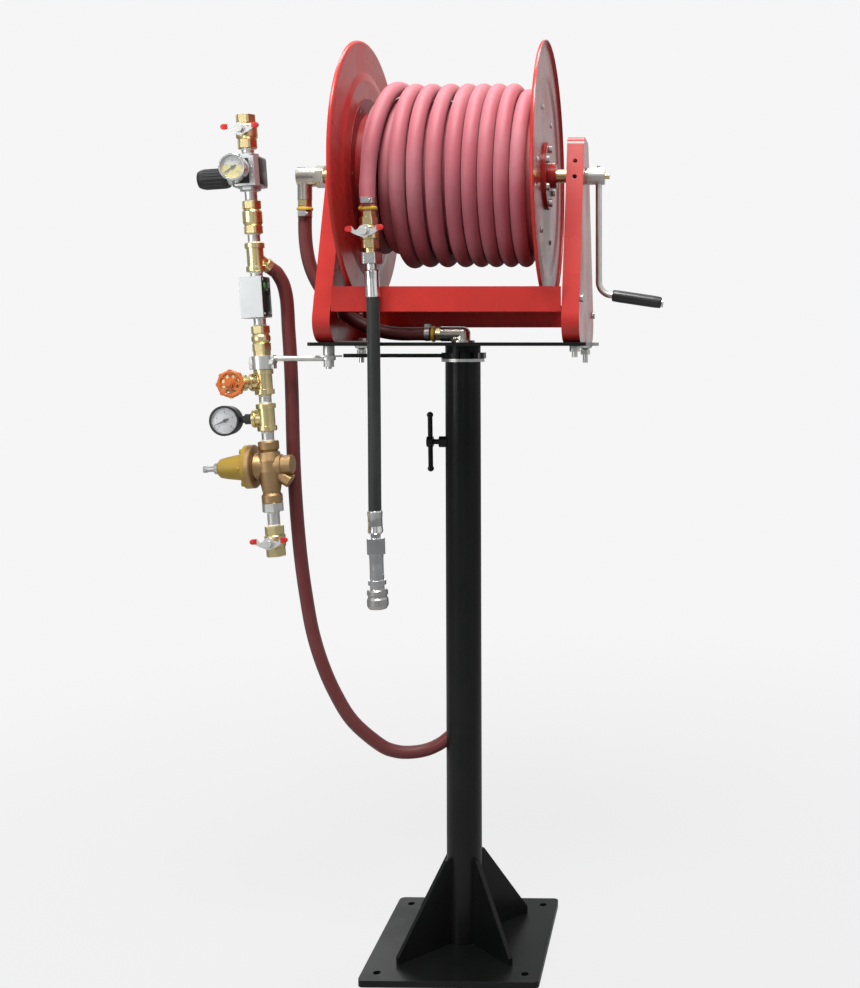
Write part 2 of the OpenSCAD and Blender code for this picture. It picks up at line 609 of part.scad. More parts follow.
// Pressure gauge facing -Y with its back at y = 0: a case with a dial recess.
module gauge_case(d, deep) difference() {
    rotate([90, 0, 0]) turned([[0, 0], [d / 2 - 3, 0], [d / 2 - 1, 2], [d / 2 - 1, deep - 6],
        [d / 2, deep - 5], [d / 2, deep - 1], [d / 2 - 1, deep], [0, deep]]);
    translate([0, -deep + dial_deep, 0]) rotate([90, 0, 0]) cylinder(d = d - 7, h = 20);
    translate([0, -deep + dial_deep + 8, 0]) rotate([90, 0, 0]) cylinder(d = pin_d + 2 * run, h = 20);
}
// Needle on its pin, in the dial recess of such a gauge, pointing to angle a.
module needle(d, deep, a) translate([0, -deep + dial_deep, 0]) {
    translate([0, 7, 0]) rotate([90, 0, 0]) cylinder(d = pin_d, h = 9);
    translate([0, -0.5, 0]) rotate([90, 0, 0]) cylinder(d = 6, h = 1.5);
    translate([0, -1, 0]) rotate([0, a, 0]) rotate([90, 0, 0]) linear_extrude(0.8)
        polygon([[-1.4, -7], [1.4, -7], [0.5, d / 2 - 7], [-0.5, d / 2 - 7]]);
}
reg_gauge_deep = 24;
module at_reg_gauge() at_pipe(reg_z) translate([reg_gauge_x, -reg_deep / 2 - 7, reg_gauge_z]) children();
module regulator_gauge() color("silver") at_reg_gauge() {
    gauge_case(reg_gauge_d, reg_gauge_deep);
    translate([0, 15, 0]) rotate([90, 0, 0]) cylinder(d = 10.6, h = 15);
    rotate([-90, 0, 0]) hex(14, 7);
}
module regulator_needle() color("black") at_reg_gauge() needle(reg_gauge_d, reg_gauge_deep, -120);

module check_valve(len, d) {
    hex(30, 13);
    translate([0, 0, len - 13]) hex(30, 13);
    turned([[0, 12], [13, 12], [d / 2, 19], [d / 2, len - 19], [13, len - 12], [0, len - 12]]);
}
upper_check = [230, 57];
lower_check = [21, 44];
module check_valves() color("darkgoldenrod") {
    at_pipe(upper_check[0]) check_valve(upper_check[1], 34);
    at_pipe(lower_check[0]) check_valve(lower_check[1], 33);
    at_pipe(check_foot) hex(28, lower_check[0] - check_foot);
}
// Forged tee along z with a branch towards +X.
module tee_barrel(len) turned([[0, 0], [16, 0], [17, 1], [17, 9], [14.5, 9], [14.5, len - 9],
    [17, len - 9], [17, len - 1], [16, len], [0, len]]);
module tee(len, branch_z, branch_l) {
    tee_barrel(len);
    translate([0, 0, branch_z]) along_x() turned([[0, 0], [12.4, 0], [12.4, branch_l - 6],
        [16, branch_l - 6], [16, branch_l - 1], [15, branch_l], [0, branch_l]]);
}
hose_tee = [162, 51];
valve_tee = [-57, 45];
gauge_tee = [-122, 49];
check_foot = 12;
union_h = 15;
function top_of(fitting) = fitting[0] + fitting[1];
branch_l = 24;
barb_l = 33;
barb_tilt = 129;
barb_turn = 42;
module branch_tees() color("goldenrod") {
    at_pipe(hose_tee[0]) tee_barrel(hose_tee[1]);
    at_pipe(hose_tee[0] + 28) rotate([0, barb_tilt, barb_turn]) {
        cylinder(d = 20, h = barb_l - 4);
        translate([0, 0, barb_l - 10]) hex(24, 10);
    }
    at_pipe(valve_tee[0]) mirror([1, 0, 0]) tee(valve_tee[1], 23, branch_l);
    at_pipe(gauge_tee[0]) mirror([1, 0, 0]) tee(gauge_tee[1], 23, branch_l);
}
lock_box = [40, 44, 72];
lock_box_z = 116;
lever_pin = 6;
module lockout_body() color("silver") at_pipe(lock_box_z) difference() {
    translate([-5, 0, 0]) cube(lock_box, center = true);
    translate([10, 0, 10]) along_x() cylinder(d = lever_pin + 2 * run, h = 20);
}
module lockout_lever() color("dimgray") at_pipe(lock_box_z)
    translate([lock_box[0] / 2 - 5 + seat, 0, 10]) {
        translate([-4, 0, 0]) along_x() cylinder(d = lever_pin, h = 9);
        along_x() cylinder(d = 12, h = 5);
        translate([1, -3, -36]) cube([3, 6, 36]);
    }
module nipple(z0, z1, d = nipple_d) at_pipe(z0) cylinder(d = d, h = z1 - z0);
module pipe_nipples() color("lightgray") {
    nipple(reg_z + reg_h / 2, inlet_valve_z - inlet_valve_len / 2);
    nipple(top_of(upper_check), reg_z - reg_h / 2);
    nipple(top_of(hose_tee), upper_check[0]);
    nipple(lock_box_z + lock_box[2] / 2, hose_tee[0]);
    nipple(top_of(lower_check), lock_box_z - lock_box[2] / 2);
    nipple(top_of(valve_tee), check_foot, clamp_pipe_d);
    nipple(top_of(gauge_tee), valve_tee[0]);
    nipple(prv_z + prv_top, gauge_tee[0]);
    nipple(drain_valve_z + drain_valve_len / 2, prv_z - prv_foot - union_h);
    at_pipe(prv_z - prv_foot - union_h) hex(34, union_h);
}
wheel_x = -44;
wheel_z = -34;
wheel_y = 44;
spindle_d = 7;
module globe_valve_body() color("goldenrod") at_pipe(wheel_z) difference() {
    union() {
        translate([-branch_l - 8, 0, 0]) along_x() cylinder(d = nipple_d, h = 8);
        translate([-branch_l - 8, 0, 0]) rotate([0, -90, 0]) hex(26, 10);
        translate([wheel_x - 4, 0, 0]) rotate([80, 0, 0]) rotate([0, 90, 0]) sphere(d = 34);
        translate([wheel_x - 17, 0, 0]) rotate([0, -90, 0]) hex(26, 10);
        translate([wheel_x, 0, 0]) to_front() cylinder(d = 17, h = 24);
        translate([wheel_x, -22, 0]) to_front() hex(20, 8);
        translate([wheel_x, -28, 0]) to_front() hex(14, 8);
    }
    translate([wheel_x, -10, 0]) to_front() cylinder(d = spindle_d + 2 * run, h = 40);
}
// Pressed hand wheel with a wavy rim and round holes.
module globe_handwheel() color("orangered") at_pipe(wheel_z) translate([wheel_x, 0, 0]) {
    translate([0, -11, 0]) to_front() cylinder(d = spindle_d, h = wheel_y - 4);
    translate([0, -wheel_y + 6, 0]) to_front() difference() {
        union() {
            cylinder(d = 15, h = 6);
            translate([0, 0, 2]) cylinder(d = wheel_d - 8, h = 3);
            translate([0, 0, 3.5]) ring(wheel_d / 2 - 5, 7);
            for (a = [0 : 45 : 315]) rotate([0, 0, a]) translate([wheel_d / 2 - 4.5, 0, 0.5])
                cylinder(d = 9, h = 6);
        }
        for (a = [22.5 : 45 : 337.5]) rotate([0, 0, a]) translate([wheel_d / 2 - 12, 0, -1])
            cylinder(d = 6, h = 9);
    }
    translate([0, -wheel_y, 0]) to_front() hex(11, 5);
}
gauge_x = -72;
gauge_z = -99;
gauge_deep = 26;
module at_gauge() at_pipe(gauge_z) translate([gauge_x, gauge_deep / 2, 0]) children();
module pressure_gauge() color("#202020") {
    at_gauge() gauge_case(gauge_d, gauge_deep);
    at_pipe(gauge_z) translate([-branch_l - 14, 0, 0]) along_x() hex(17, 14);
    at_pipe(gauge_z) translate([gauge_x + gauge_d / 2 - 4, 0, 0]) along_x()
        cylinder(d = 13, h = -gauge_x - gauge_d / 2 + 4 - branch_l - 10);
}
module pressure_needle() color("black") at_gauge() needle(gauge_d, gauge_deep, -110);

prv_z = -184;
prv_top = 44;
prv_foot = 67;
prv_flange_d = 78;
prv_face = -34;
adjuster_d = 10;
module reducing_valve_body() color("darkgoldenrod") at_pipe(prv_z) {
    turned([[0, -prv_foot], [17, -prv_foot], [18, -prv_foot + 2], [18, -prv_foot + 14], [15, -prv_foot + 18],
        [20, -24], [22, -10], [22, 10], [18, 24], [15, prv_top - 18], [18, prv_top - 14],
        [18, prv_top - 2], [17, prv_top], [0, prv_top]]);
    translate([prv_face, 0, 0]) along_x() turned([[0, 0], [prv_flange_d / 2, 0], [prv_flange_d / 2, 7],
        [prv_flange_d / 2 - 2, 9], [24, 11], [19, 34], [0, 34]]);
    along_x() turned([[0, 0], [19, 0], [19, 22], [17, 24], [17, 40], [15, 42], [0, 42]]);
    translate([24, 0, -22]) rotate([0, 125, 0]) {
        translate([0, 0, -24]) cylinder(d = 24, h = 26);
        hex(24, 14);
    }
}
module flange_bolts() for (a = [0 : 60 : 300]) rotate([0, 0, a + 30])
    translate([prv_flange_d / 2 - 6, 0, 0]) children();
bell_l = 57;
bell_foot = 9;
module reducing_valve_bell() color("goldenrod") at_pipe(prv_z) translate([prv_face, 0, 0])
    rotate([0, -90, 0]) {
        difference() {
            turned([[0, 0], [prv_flange_d / 2, 0], [prv_flange_d / 2, 7], [27, bell_foot], [24, 13],
                [20, 40], [17, bell_l - 4], [13, bell_l], [0, bell_l]]);
            translate([0, 0, 8]) cylinder(d = adjuster_d + 2 * run, h = bell_l);
        }
        flange_bolts() translate([0, 0, 7]) hex(9, 5);
    }
module reducing_valve_screw() color("silver") at_pipe(prv_z)
    translate([prv_face - bell_l, 0, 0]) rotate([0, -90, 0]) {
        translate([0, 0, -30]) cylinder(d = adjuster_d, h = 58);
        translate([0, 0, seat]) hex(18, 7);
        translate([0, 0, 22]) hex(11, 6);
    }

// ---- Free end of the reel hose ----
chain_x = -125;
chain_y = -164.5;
chain_z = 1210;
chain_tilt = 3;
// Frame of the hose valve: z runs up the hose from the top of the whip.
module at_chain(z = 0) translate([chain_x, chain_y, chain_z]) rotate([0, -chain_tilt, 0])
    translate([0, 0, z]) children();
chain_top = 151;
end_x = -123.4;
end_z = 841;
end_tilt = 1.65;
// Frame of the coupler: z runs down from the foot of the whip.
module at_end(z = 0) translate([end_x, chain_y, end_z]) rotate([0, 180 - end_tilt, 0])
    translate([0, 0, z]) children();
hose_valve_z = 114;
hose_valve_len = 54;
module hose_valve_body() color("silver") at_chain() {
    translate([0, 0, hose_valve_z]) valve_body(hose_valve_len, 29, 34);
    translate([0, 0, hose_valve_z + hose_valve_len / 2]) hex(24, 10);
    translate([0, 0, 79]) cylinder(d = 20, h = 8);
    translate([0, 0, 60]) hex(36, 19);
    translate([0, 0, 50]) cylinder(d = 19, h = 10);
    translate([0, 0, chain_top + 5]) collar_ring(hose_d);
    translate([0, 0, chain_top + 18]) band(hose_d);
}
module hose_valve_ball() color("lightgray") at_chain(hose_valve_z) valve_ball();
module hose_valve_handle() color("silver") at_chain(hose_valve_z) valve_handle();
ferrule_d = 26.5;
whip_route = [[-127.3, -164.5, 1254], [-126.2, -164.5, 1233], [-125.3, -164.5, 1210],
    [-124.6, -164.5, 1160], [-124.1, -164.5, 1100], [-123.8, -164.5, 1040], [-123.6, -164.5, 980],
    [-123.5, -164.5, 920], [-123.4, -164.5, 870], [-123.2, -164.5, 841], [-122.4, -164.5, 806]];
module whip_hose() color("#1c1c1c") tube(smooth(whip_route, 2), whip_d, 12);
module ferrule(len) difference() {
    turned([[0, 0], [ferrule_d / 2 - 1, 0], [ferrule_d / 2, 2], [ferrule_d / 2 - 0.8, len / 3],
        [ferrule_d / 2 - 0.8, len * 2 / 3], [ferrule_d / 2, len - 3], [ferrule_d / 2 - 2, len], [0, len]]);
    translate([0, 0, -fuse]) cylinder(d = whip_d + 0.2, h = len - 4);
}
module whip_fittings() color("silver") {
    at_chain(2) ferrule(48);
    at_end(0) ferrule(40);
    at_end(40) cylinder(d = 17, h = 8);
    at_end(48) hex(29, 28);
}
coupler_z = 76;
coupler_d = 24.6;
sleeve_z = 134;
sleeve_l = 37;
coupler_l = sleeve_z + sleeve_l - coupler_z - 4;
module coupler_body() color("silver") at_end(coupler_z) difference() {
    union() {
        translate([0, 0, coupler_l - 46]) cylinder(d = 31, h = 8);
        cylinder(d = coupler_d, h = coupler_l);
    }
    for (s = [-1, 1]) translate([s * 12.5 - 1.5, -6, 6]) cube([3, 12, 30]);
    translate([0, 0, coupler_l - 24]) cylinder(d = socket_d, h = 60);
}
socket_d = 17.3;
module coupler_sleeve() color("gray") at_end(sleeve_z + 3) difference() {
    turned([[0, 0], [16, 0], [18, 2], [18, 9], [16.5, 11], [16.5, 14], [18.5, 17], [18.5, 28],
        [16.5, sleeve_l - 3 - 2], [15, sleeve_l - 3], [0, sleeve_l - 3]]);
    translate([0, 0, -fuse]) cylinder(d = coupler_d + 2 * run, h = sleeve_l + 4);
}

// ---- Drum ----
hub_hole = shaft_d + 2;
dish_r = 175;
step_r = 190;
bend = 5;
core_flange_t = 1.5;
core_flange_r = 142;
rivet_d = 5;
hub_plate_d = 125;
hub_plate_t = 6;
hub_boss = 20;
hub_bolts = 6;
// Pressed disc with its flat inner face at z = 0 and its lip towards +Z.
module disc() difference() {
    turned(concat(
        [[hub_hole / 2, 0], [dish_r, 0], [step_r, dish]],
        [for (a = [-90 : 15 : 0]) [disc_r - bend + bend * cos(a), dish + bend + bend * sin(a)]],
        [[disc_r, dish + lip_w + disc_t], [disc_r - disc_t, dish + lip_w + disc_t]],
        [for (a = [0 : -15 : -90]) [disc_r - bend + (bend - disc_t) * cos(a),
            dish + bend + (bend - disc_t) * sin(a)]],
        [[step_r - 0.5, dish + disc_t], [dish_r - 0.5, disc_t], [hub_hole / 2, disc_t]]));
    rivet_places() translate([0, 0, -fuse]) cylinder(d = rivet_d + 2 * bolt_play, h = 9);
    hub_places() translate([0, 0, -fuse]) cylinder(d = bolt_d + 2 * bolt_play, h = 9);
}
module rivet_places() for (i = [0 : rivets - 1]) rotate([0, 0, 25 + 360 * i / rivets])
    translate([rivet_r, 0, 0]) children();
module hub_places() for (i = [0 : hub_bolts - 1]) rotate([0, 0, 360 * i / hub_bolts])
    translate([hub_bolt_r, 0, 0]) children();
// Places its children at the inner face of both discs, +Z outwards.
module both_ends() {
    translate([disc_in_r, 0, axis_z]) along_x() children();
    translate([disc_in_l, 0, axis_z]) rotate([0, -90, 0]) children();
}
module drum_discs() color("crimson") both_ends() disc();
core_wall = 2;
stub_x = disc_in_l + core_flange_t + hose_d / 2 + 0.35;
hose_end_gap = 0.9;
tail_gap = 3.8;
first_start = 195;
module drum_core() color("firebrick") {
    difference() {
        translate([disc_in_l, 0, axis_z]) along_x() difference() {
            union() {
                cylinder(r = core_r, h = drum_w, $fn = 96);
                cylinder(r = core_flange_r, h = core_flange_t);
                translate([0, 0, drum_w - core_flange_t]) cylinder(r = core_flange_r, h = core_flange_t);
            }
            translate([0, 0, -fuse]) cylinder(r = core_r - core_wall, h = drum_w + 2 * fuse, $fn = 96);
        }
        both_ends() rivet_places() translate([0, 0, -9]) cylinder(d = rivet_d + 2 * bolt_play, h = 18);
    }
    // Outlet: a pipe from the shaft through the core, turned along the first turn of hose.
    difference() {
        union() {
            at_angle(first_start - outlet_lead) translate([stub_x, 0, 0]) {
                to_front() cylinder(d = outlet_d, h = first_r);
                translate([0, -first_r, 0]) sphere(d = outlet_d);
            }
            at_angle(first_start + step / 2) mirror([0, 0, 1])
                translate([stub_x, -first_r * cos(step / 2), first_r * sin(step / 2) + hose_end_gap])
                    cylinder(d = outlet_d, h = outlet_stub - hose_end_gap);
        }
        translate([stub_x - 20, 0, axis_z]) along_x() cylinder(d = shaft_d, h = 60);
    }
}
outlet_d = 22;
outlet_lead = 7;
outlet_stub = 16;
// Turns its children about the drum axis: -Y outwards and +Z along the hose.
module at_angle(a) translate([0, 0, axis_z]) rotate([-a, 0, 0]) children();
crank_foot = frame_r + 2;
crank_hub_l = 32;
crank_seat_d = 18;
shaft_tip_d = 11;
shaft_tip = 9;
module drum_shaft() color("darkgoldenrod") difference() {
    union() {
        translate([shaft_l, 0, axis_z]) along_x() cylinder(d = shaft_d, h = crank_foot - shaft_l);
        translate([crank_foot, 0, axis_z]) along_x() cylinder(d = crank_seat_d, h = crank_hub_l);
        translate([crank_foot + crank_hub_l, 0, axis_z]) along_x() cylinder(d = shaft_tip_d, h = shaft_tip);
    }
    translate([shaft_l - fuse, 0, axis_z]) along_x() cylinder(d = shaft_bore, h = stub_x - shaft_l + 10);
    at_angle(first_start - outlet_lead) translate([stub_x, 0, 0]) to_front() cylinder(d = 12, h = shaft_d);
}
module hub_flanges() color("firebrick") both_ends() translate([0, 0, disc_t]) difference() {
    union() {
        cylinder(d = hub_plate_d, h = hub_plate_t);
        cylinder(d = shaft_d + 20, h = hub_boss);
    }
    translate([0, 0, -fuse]) cylinder(d = shaft_d, h = hub_boss + 2 * fuse);
    hub_places() translate([0, 0, -fuse]) cylinder(d = bolt_d + 2 * bolt_play, h = hub_plate_t + 2 * fuse);
}
module drum_fasteners() color("silver") both_ends() {
    rivet_places() {
        translate([0, 0, disc_t]) turned([[0, 0], [5.5, 0], [5, 1.4], [3.4, 2.6], [0, 3]]);
        translate([0, 0, -core_flange_t]) cylinder(d = rivet_d, h = core_flange_t + disc_t);
    }
    hub_places() {
        translate([0, 0, disc_t + hub_plate_t]) hex(13, 5.5);
        translate([0, 0, -12]) cylinder(d = bolt_d, h = disc_t + hub_plate_t + 12);
        translate([0, 0, -6.5]) nut(13, bolt_d, 6.5);
    }
}
crank_x = 255;
crank_rod = 12;
crank_bend = 25;
grip_slope = 8.5;
bend_z = axis_z - crank_r + 31;
grip_pin = 9;
// Frame at the end of the crank's bend, +Z along the grip.
module at_grip() translate([crank_x + crank_bend * (1 - sin(grip_slope)), 0, bend_z - crank_bend * cos(grip_slope)])
    rotate([0, 90 + grip_slope, 0]) children();
module crank_arm() color("silver") {
    difference() {
        union() {
            translate([crank_foot, 0, axis_z]) along_x() cylinder(d = 32, h = crank_hub_l);
            translate([crank_x, 0, bend_z]) cylinder(d = crank_rod, h = axis_z - bend_z);
            translate([crank_x, 0, axis_z + 10]) cylinder(d = 6, h = 9);
        }
        translate([crank_foot - fuse, 0, axis_z]) along_x() cylinder(d = crank_seat_d, h = crank_hub_l + 2 * fuse);
    }
    translate([crank_x + crank_bend, 0, bend_z]) rotate([90, 0, 0]) rotate([0, 0, 180])
        rotate_extrude(angle = 90 - grip_slope) translate([crank_bend, 0]) circle(d = crank_rod, $fn = 32);
    at_grip() {
        cylinder(d = crank_rod, h = 4);
        translate([0, 0, 2]) cylinder(d = grip_pin, h = grip_l + 6);
        translate([0, 0, grip_l + 5]) cylinder(d = 16, h = 3);
    }
}
module crank_grip() color("#161616") at_grip() translate([0, 0, 4.3]) difference() {
    turned([[0, 0], [9.5, 0], [10.8, 1.5], [grip_d / 2, 12], [grip_d / 2, grip_l - 14],
        [10.6, grip_l - 2], [9, grip_l], [0, grip_l]]);
    translate([0, 0, -fuse]) cylinder(d = grip_pin + 2 * run, h = grip_l + 2 * fuse);
}

// ---- Hose on the drum ----
// Angle a runs from the front over the top; a whole turn is 360.
step = 15;
function on_drum(a, r, x) = [x, -r * cos(a), axis_z + r * sin(a)];
cross_r = first_r + hose_d + 0.8;
outer_start = 150;
outer_end = 9 * 360;
outer_x = -85;
turn_gaps = [2.5, 6.5, 6.5, 0.5, 0.5, 0.5, 0.5];
function turn_x(n) = n <= 0 ? outer_x : turn_x(n - 1) + hose_d + turn_gaps[n - 1];
turns = len(turn_gaps) + 1;
right_x = disc_in_r - core_flange_t - hose_d / 2 - 0.35;
function outer_place(a) = let (t = a / 360, n = floor(t))
    t < 1 ? outer_x - 28.5 * (1 - t)
    : t < turns ? turn_x(n - 1) + (t - n) * (turn_x(n) - turn_x(n - 1))
    : turn_x(turns - 1) + (right_x - turn_x(turns - 1)) * min(1, (t - turns) * 2);
function outer_radius(a) = let (t = a / 360)
    a < 225 ? cross_r
    : a < 315 ? cross_r + (outer_r - cross_r) * (a - 225) / 90
    : t < turns ? outer_r
    : outer_r + (first_r - outer_r) * min(1, (t - turns) * 2);
outer_path = [for (a = [outer_start : step : outer_end])
    on_drum(a, outer_radius(a), outer_place(min(a, outer_end - step)))];
first_x = stub_x;
first_pitch = 31;
first_turns = 2;
first_path = [for (a = [0 : step : 360 * first_turns])
    on_drum(first_start + a, first_r, first_x + first_pitch * min(a, 360 * first_turns - step) / 360)];
// Least distance between surfaces of a winding, between places more than a third of a turn apart.
function least_gap(p, n) = min([for (i = [0 : len(p) - 1 - n], j = [i + n : len(p) - 1]) norm(p[i] - p[j])]) - hose_d;
echo(least_gap_outer_turns = least_gap(outer_path, 8), least_gap_first_turns = least_gap(first_path, 8));
module hose_outer_turns() color("#e0566a") tube(outer_path, hose_d, 6);
module hose_first_turns() color("#d64c60") tube(first_path, hose_d, 6);
layer_r = outer_r - hose_d / 2 - 2.2;
layer_l = first_path[len(first_path) - 1][0] + hose_d / 2 + 0.5;
layer_rt = turn_x(turns - 1) - 7;
// Part of a band of the layer, from the square end of a turn at angle a, over a span of degrees.
module layer_end(a, x0, x1, span) at_angle(a - step / 2) difference() {
    translate([x0, 0, 0]) rotate([90, 0, 90]) linear_extrude(x1 - x0) intersection() {
        difference() {
            circle(r = layer_r - 0.6, $fn = 96);
            circle(r = core_r + 0.4, $fn = 96);
        }
        polygon([[-90, first_r * sin(step / 2)], [-180, first_r * sin(step / 2)],
            [-180 * cos(span), 180 * sin(span)], [-90 * cos(span), 90 * sin(span)]]);
    }
}
module hose_inner_layer() color("#c8485c") {
    translate([layer_l, 0, axis_z]) along_x() difference() {
        cylinder(r = layer_r, h = layer_rt - layer_l, $fn = 96);
        translate([0, 0, -fuse]) cylinder(r = core_r, h = layer_rt - layer_l + 2 * fuse, $fn = 96);
    }
    layer_end(first_start + 720, layer_l - 24.5, layer_l + 1, 60);
    layer_end(outer_end, layer_rt - 1, disc_in_r - core_flange_t - 0.3, 22);
}
tail_x = -133;
function on_chain(z) = [chain_x - z * sin(chain_tilt), chain_y, chain_z + z * cos(chain_tilt)];
function tail_place(a) = tail_x + (outer_place(outer_start) - tail_x) * sin(90 * a / outer_start);
tail_path = concat(
    [for (a = [outer_start : -step : 0]) let (gap = a == outer_start ? tail_gap / cross_r * 180 / PI : 0)
        on_drum(a - gap, cross_r, tail_place(a))],
    [[-134.1, -161.6, axis_z - 25], on_chain(chain_top + 31), on_chain(chain_top + 0.3)]);
module hose_tail() color("#e0566a") tube(tail_path, hose_d, 8);

base_plate();
base_gussets();
post();
thrust_washer();
supply_hose();
lock_handle();
swivel_stem();
clamp_collar();
turning_arm();
deck_plate();
side_frame_left();
side_frame_right();
frame_beams();
frame_bolts();
shaft_bearings();
inlet_elbows();
inlet_hose();
inlet_fittings();
hanger_rod();
pipe_clamp();
inlet_valve_body();
inlet_valve_ball();
inlet_valve_handle();
regulator_body();
regulator_knob();
regulator_gauge();
regulator_needle();
check_valves();
branch_tees();
lockout_body();
lockout_lever();
pipe_nipples();
globe_valve_body();
globe_handwheel();
pressure_gauge();
pressure_needle();
reducing_valve_body();
reducing_valve_bell();
reducing_valve_screw();
drain_valve_body();
drain_valve_ball();
drain_valve_handle();
hose_tail();
hose_valve_body();
hose_valve_ball();
hose_valve_handle();
whip_hose();
whip_fittings();
coupler_body();
coupler_sleeve();
drum_discs();
drum_core();
drum_shaft();
hub_flanges();
drum_fasteners();
crank_arm();
crank_grip();
hose_outer_turns();
hose_first_turns();
hose_inner_layer();
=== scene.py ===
# %% [markdown]
# # Dressing a fire hose reel
# The reel stands on a swivelling post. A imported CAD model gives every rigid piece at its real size, in
# metres, with +X right, +Y away from the operator and +Z up. This script gives those pieces their finishes,
# replaces the hoses with finer tubes, and adds the thin details that a CAD model leaves out.

# %% Load the frame
import math

import bmesh
import bpy
from mathutils import Matrix, Vector


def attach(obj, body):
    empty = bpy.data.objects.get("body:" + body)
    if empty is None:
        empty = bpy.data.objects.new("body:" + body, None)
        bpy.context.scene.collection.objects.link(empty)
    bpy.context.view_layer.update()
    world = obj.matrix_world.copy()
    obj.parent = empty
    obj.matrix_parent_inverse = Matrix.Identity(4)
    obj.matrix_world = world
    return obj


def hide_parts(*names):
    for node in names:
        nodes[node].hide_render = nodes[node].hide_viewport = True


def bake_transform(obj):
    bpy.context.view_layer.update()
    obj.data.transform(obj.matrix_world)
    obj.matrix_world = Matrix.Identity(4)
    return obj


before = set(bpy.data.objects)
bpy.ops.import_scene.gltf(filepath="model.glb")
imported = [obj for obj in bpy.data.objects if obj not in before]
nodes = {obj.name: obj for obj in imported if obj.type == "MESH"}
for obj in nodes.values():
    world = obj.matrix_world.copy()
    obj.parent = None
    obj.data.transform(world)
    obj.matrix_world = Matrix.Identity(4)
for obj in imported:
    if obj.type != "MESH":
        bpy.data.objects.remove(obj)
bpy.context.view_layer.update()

# %% [markdown]
# ## Camera, floor and light
# The camera stands at about the height of the reel's deck, with the reel left of and below the lens's axis.
# Turning it down at the reel would make the tall post lean, so a shifted lens gives that view instead, as
# an architect's camera does. A turn of a degree keeps the shift smaller.

# %% Camera
FOCUS_PX = 1200.0
FRAME_PX = 988.0
SENSOR_MM = 36.0
CAMERA_PLACE = (0.427, -2.240, 1.130)
SHIFT = (-0.243, -0.130)
TURN_LEFT = 1.0
TURN_DOWN = 1.0
camera = bpy.data.objects.new("camera", bpy.data.cameras.new("camera"))
bpy.context.scene.collection.objects.link(camera)
bpy.context.scene.camera = camera
camera.data.sensor_width = SENSOR_MM
camera.data.lens = FOCUS_PX / FRAME_PX * SENSOR_MM
camera.data.shift_x, camera.data.shift_y = SHIFT
camera.location = CAMERA_PLACE
camera.rotation_euler = (math.radians(90 - TURN_DOWN), 0, math.radians(TURN_LEFT))
camera.data.clip_start = 0.05
print("lens:", round(camera.data.lens, 2), "mm")

# %% [markdown]
# Shader maths reads best as Python. `Value` wraps one socket, so that `1 - mask * 0.5` adds the Math nodes
# by itself, and `Finish.node` makes every other node from its type, its settings and what goes into its
# sockets.

# %% Shader helpers
class Value:
    """One output socket, with the arithmetic that adds Math nodes behind it."""

    def __init__(self, finish, socket):
        self.finish = finish
        self.socket = socket

    def maths(self, operation, *others):
        inputs = {i: v for i, v in enumerate((self, *others))}
        return self.finish.node("ShaderNodeMath", {"operation": operation}, inputs)

    def __add__(self, other):
        return self.maths("ADD", other)

    def __mul__(self, other):
        return self.maths("MULTIPLY", other)

    def __sub__(self, other):
        return self.maths("SUBTRACT", other)

    def __rsub__(self, other):
        return self.maths("MULTIPLY", -1.0) + other

    def above(self, edge):
        return self.maths("GREATER_THAN", edge)

    def fade(self, low, high):
        """0 at low, 1 at high, and smooth between them."""
        settings = {"interpolation_type": "SMOOTHSTEP"}
        inputs = {"Value": self, "From Min": low, "From Max": high}
        return self.finish.node("ShaderNodeMapRange", settings, inputs)

    __radd__ = __add__
    __rmul__ = __mul__


class Tree:
    """A node tree, emptied, with the means to fill it."""

    def __init__(self, tree, output="ShaderNodeOutputMaterial"):
        self.tree = tree
        self.tree.nodes.clear()
        self.output = output

    def put(self, socket, value):
        if isinstance(value, Value):
            self.tree.links.new(value.socket, socket)
        elif hasattr(socket.default_value, "__len__") and len(socket.default_value) == 4:
            socket.default_value = (*value[:3], 1.0)
        else:
            socket.default_value = value

    def node(self, kind, settings=None, inputs=None, out=0):
        made = self.tree.nodes.new(kind)
        for key, value in (settings or {}).items():
            setattr(made, key, value)
        for key, value in (inputs or {}).items():
            self.put(made.inputs[key], value)
        return Value(self, made.outputs[out])

    def surface(self, shader):
        """Gives the tree's output its shader."""
        outputs = [n for n in self.tree.nodes if n.bl_idname == self.output]
        output = outputs[0] if outputs else self.tree.nodes.new(self.output)
        self.put(output.inputs["Surface"], shader)


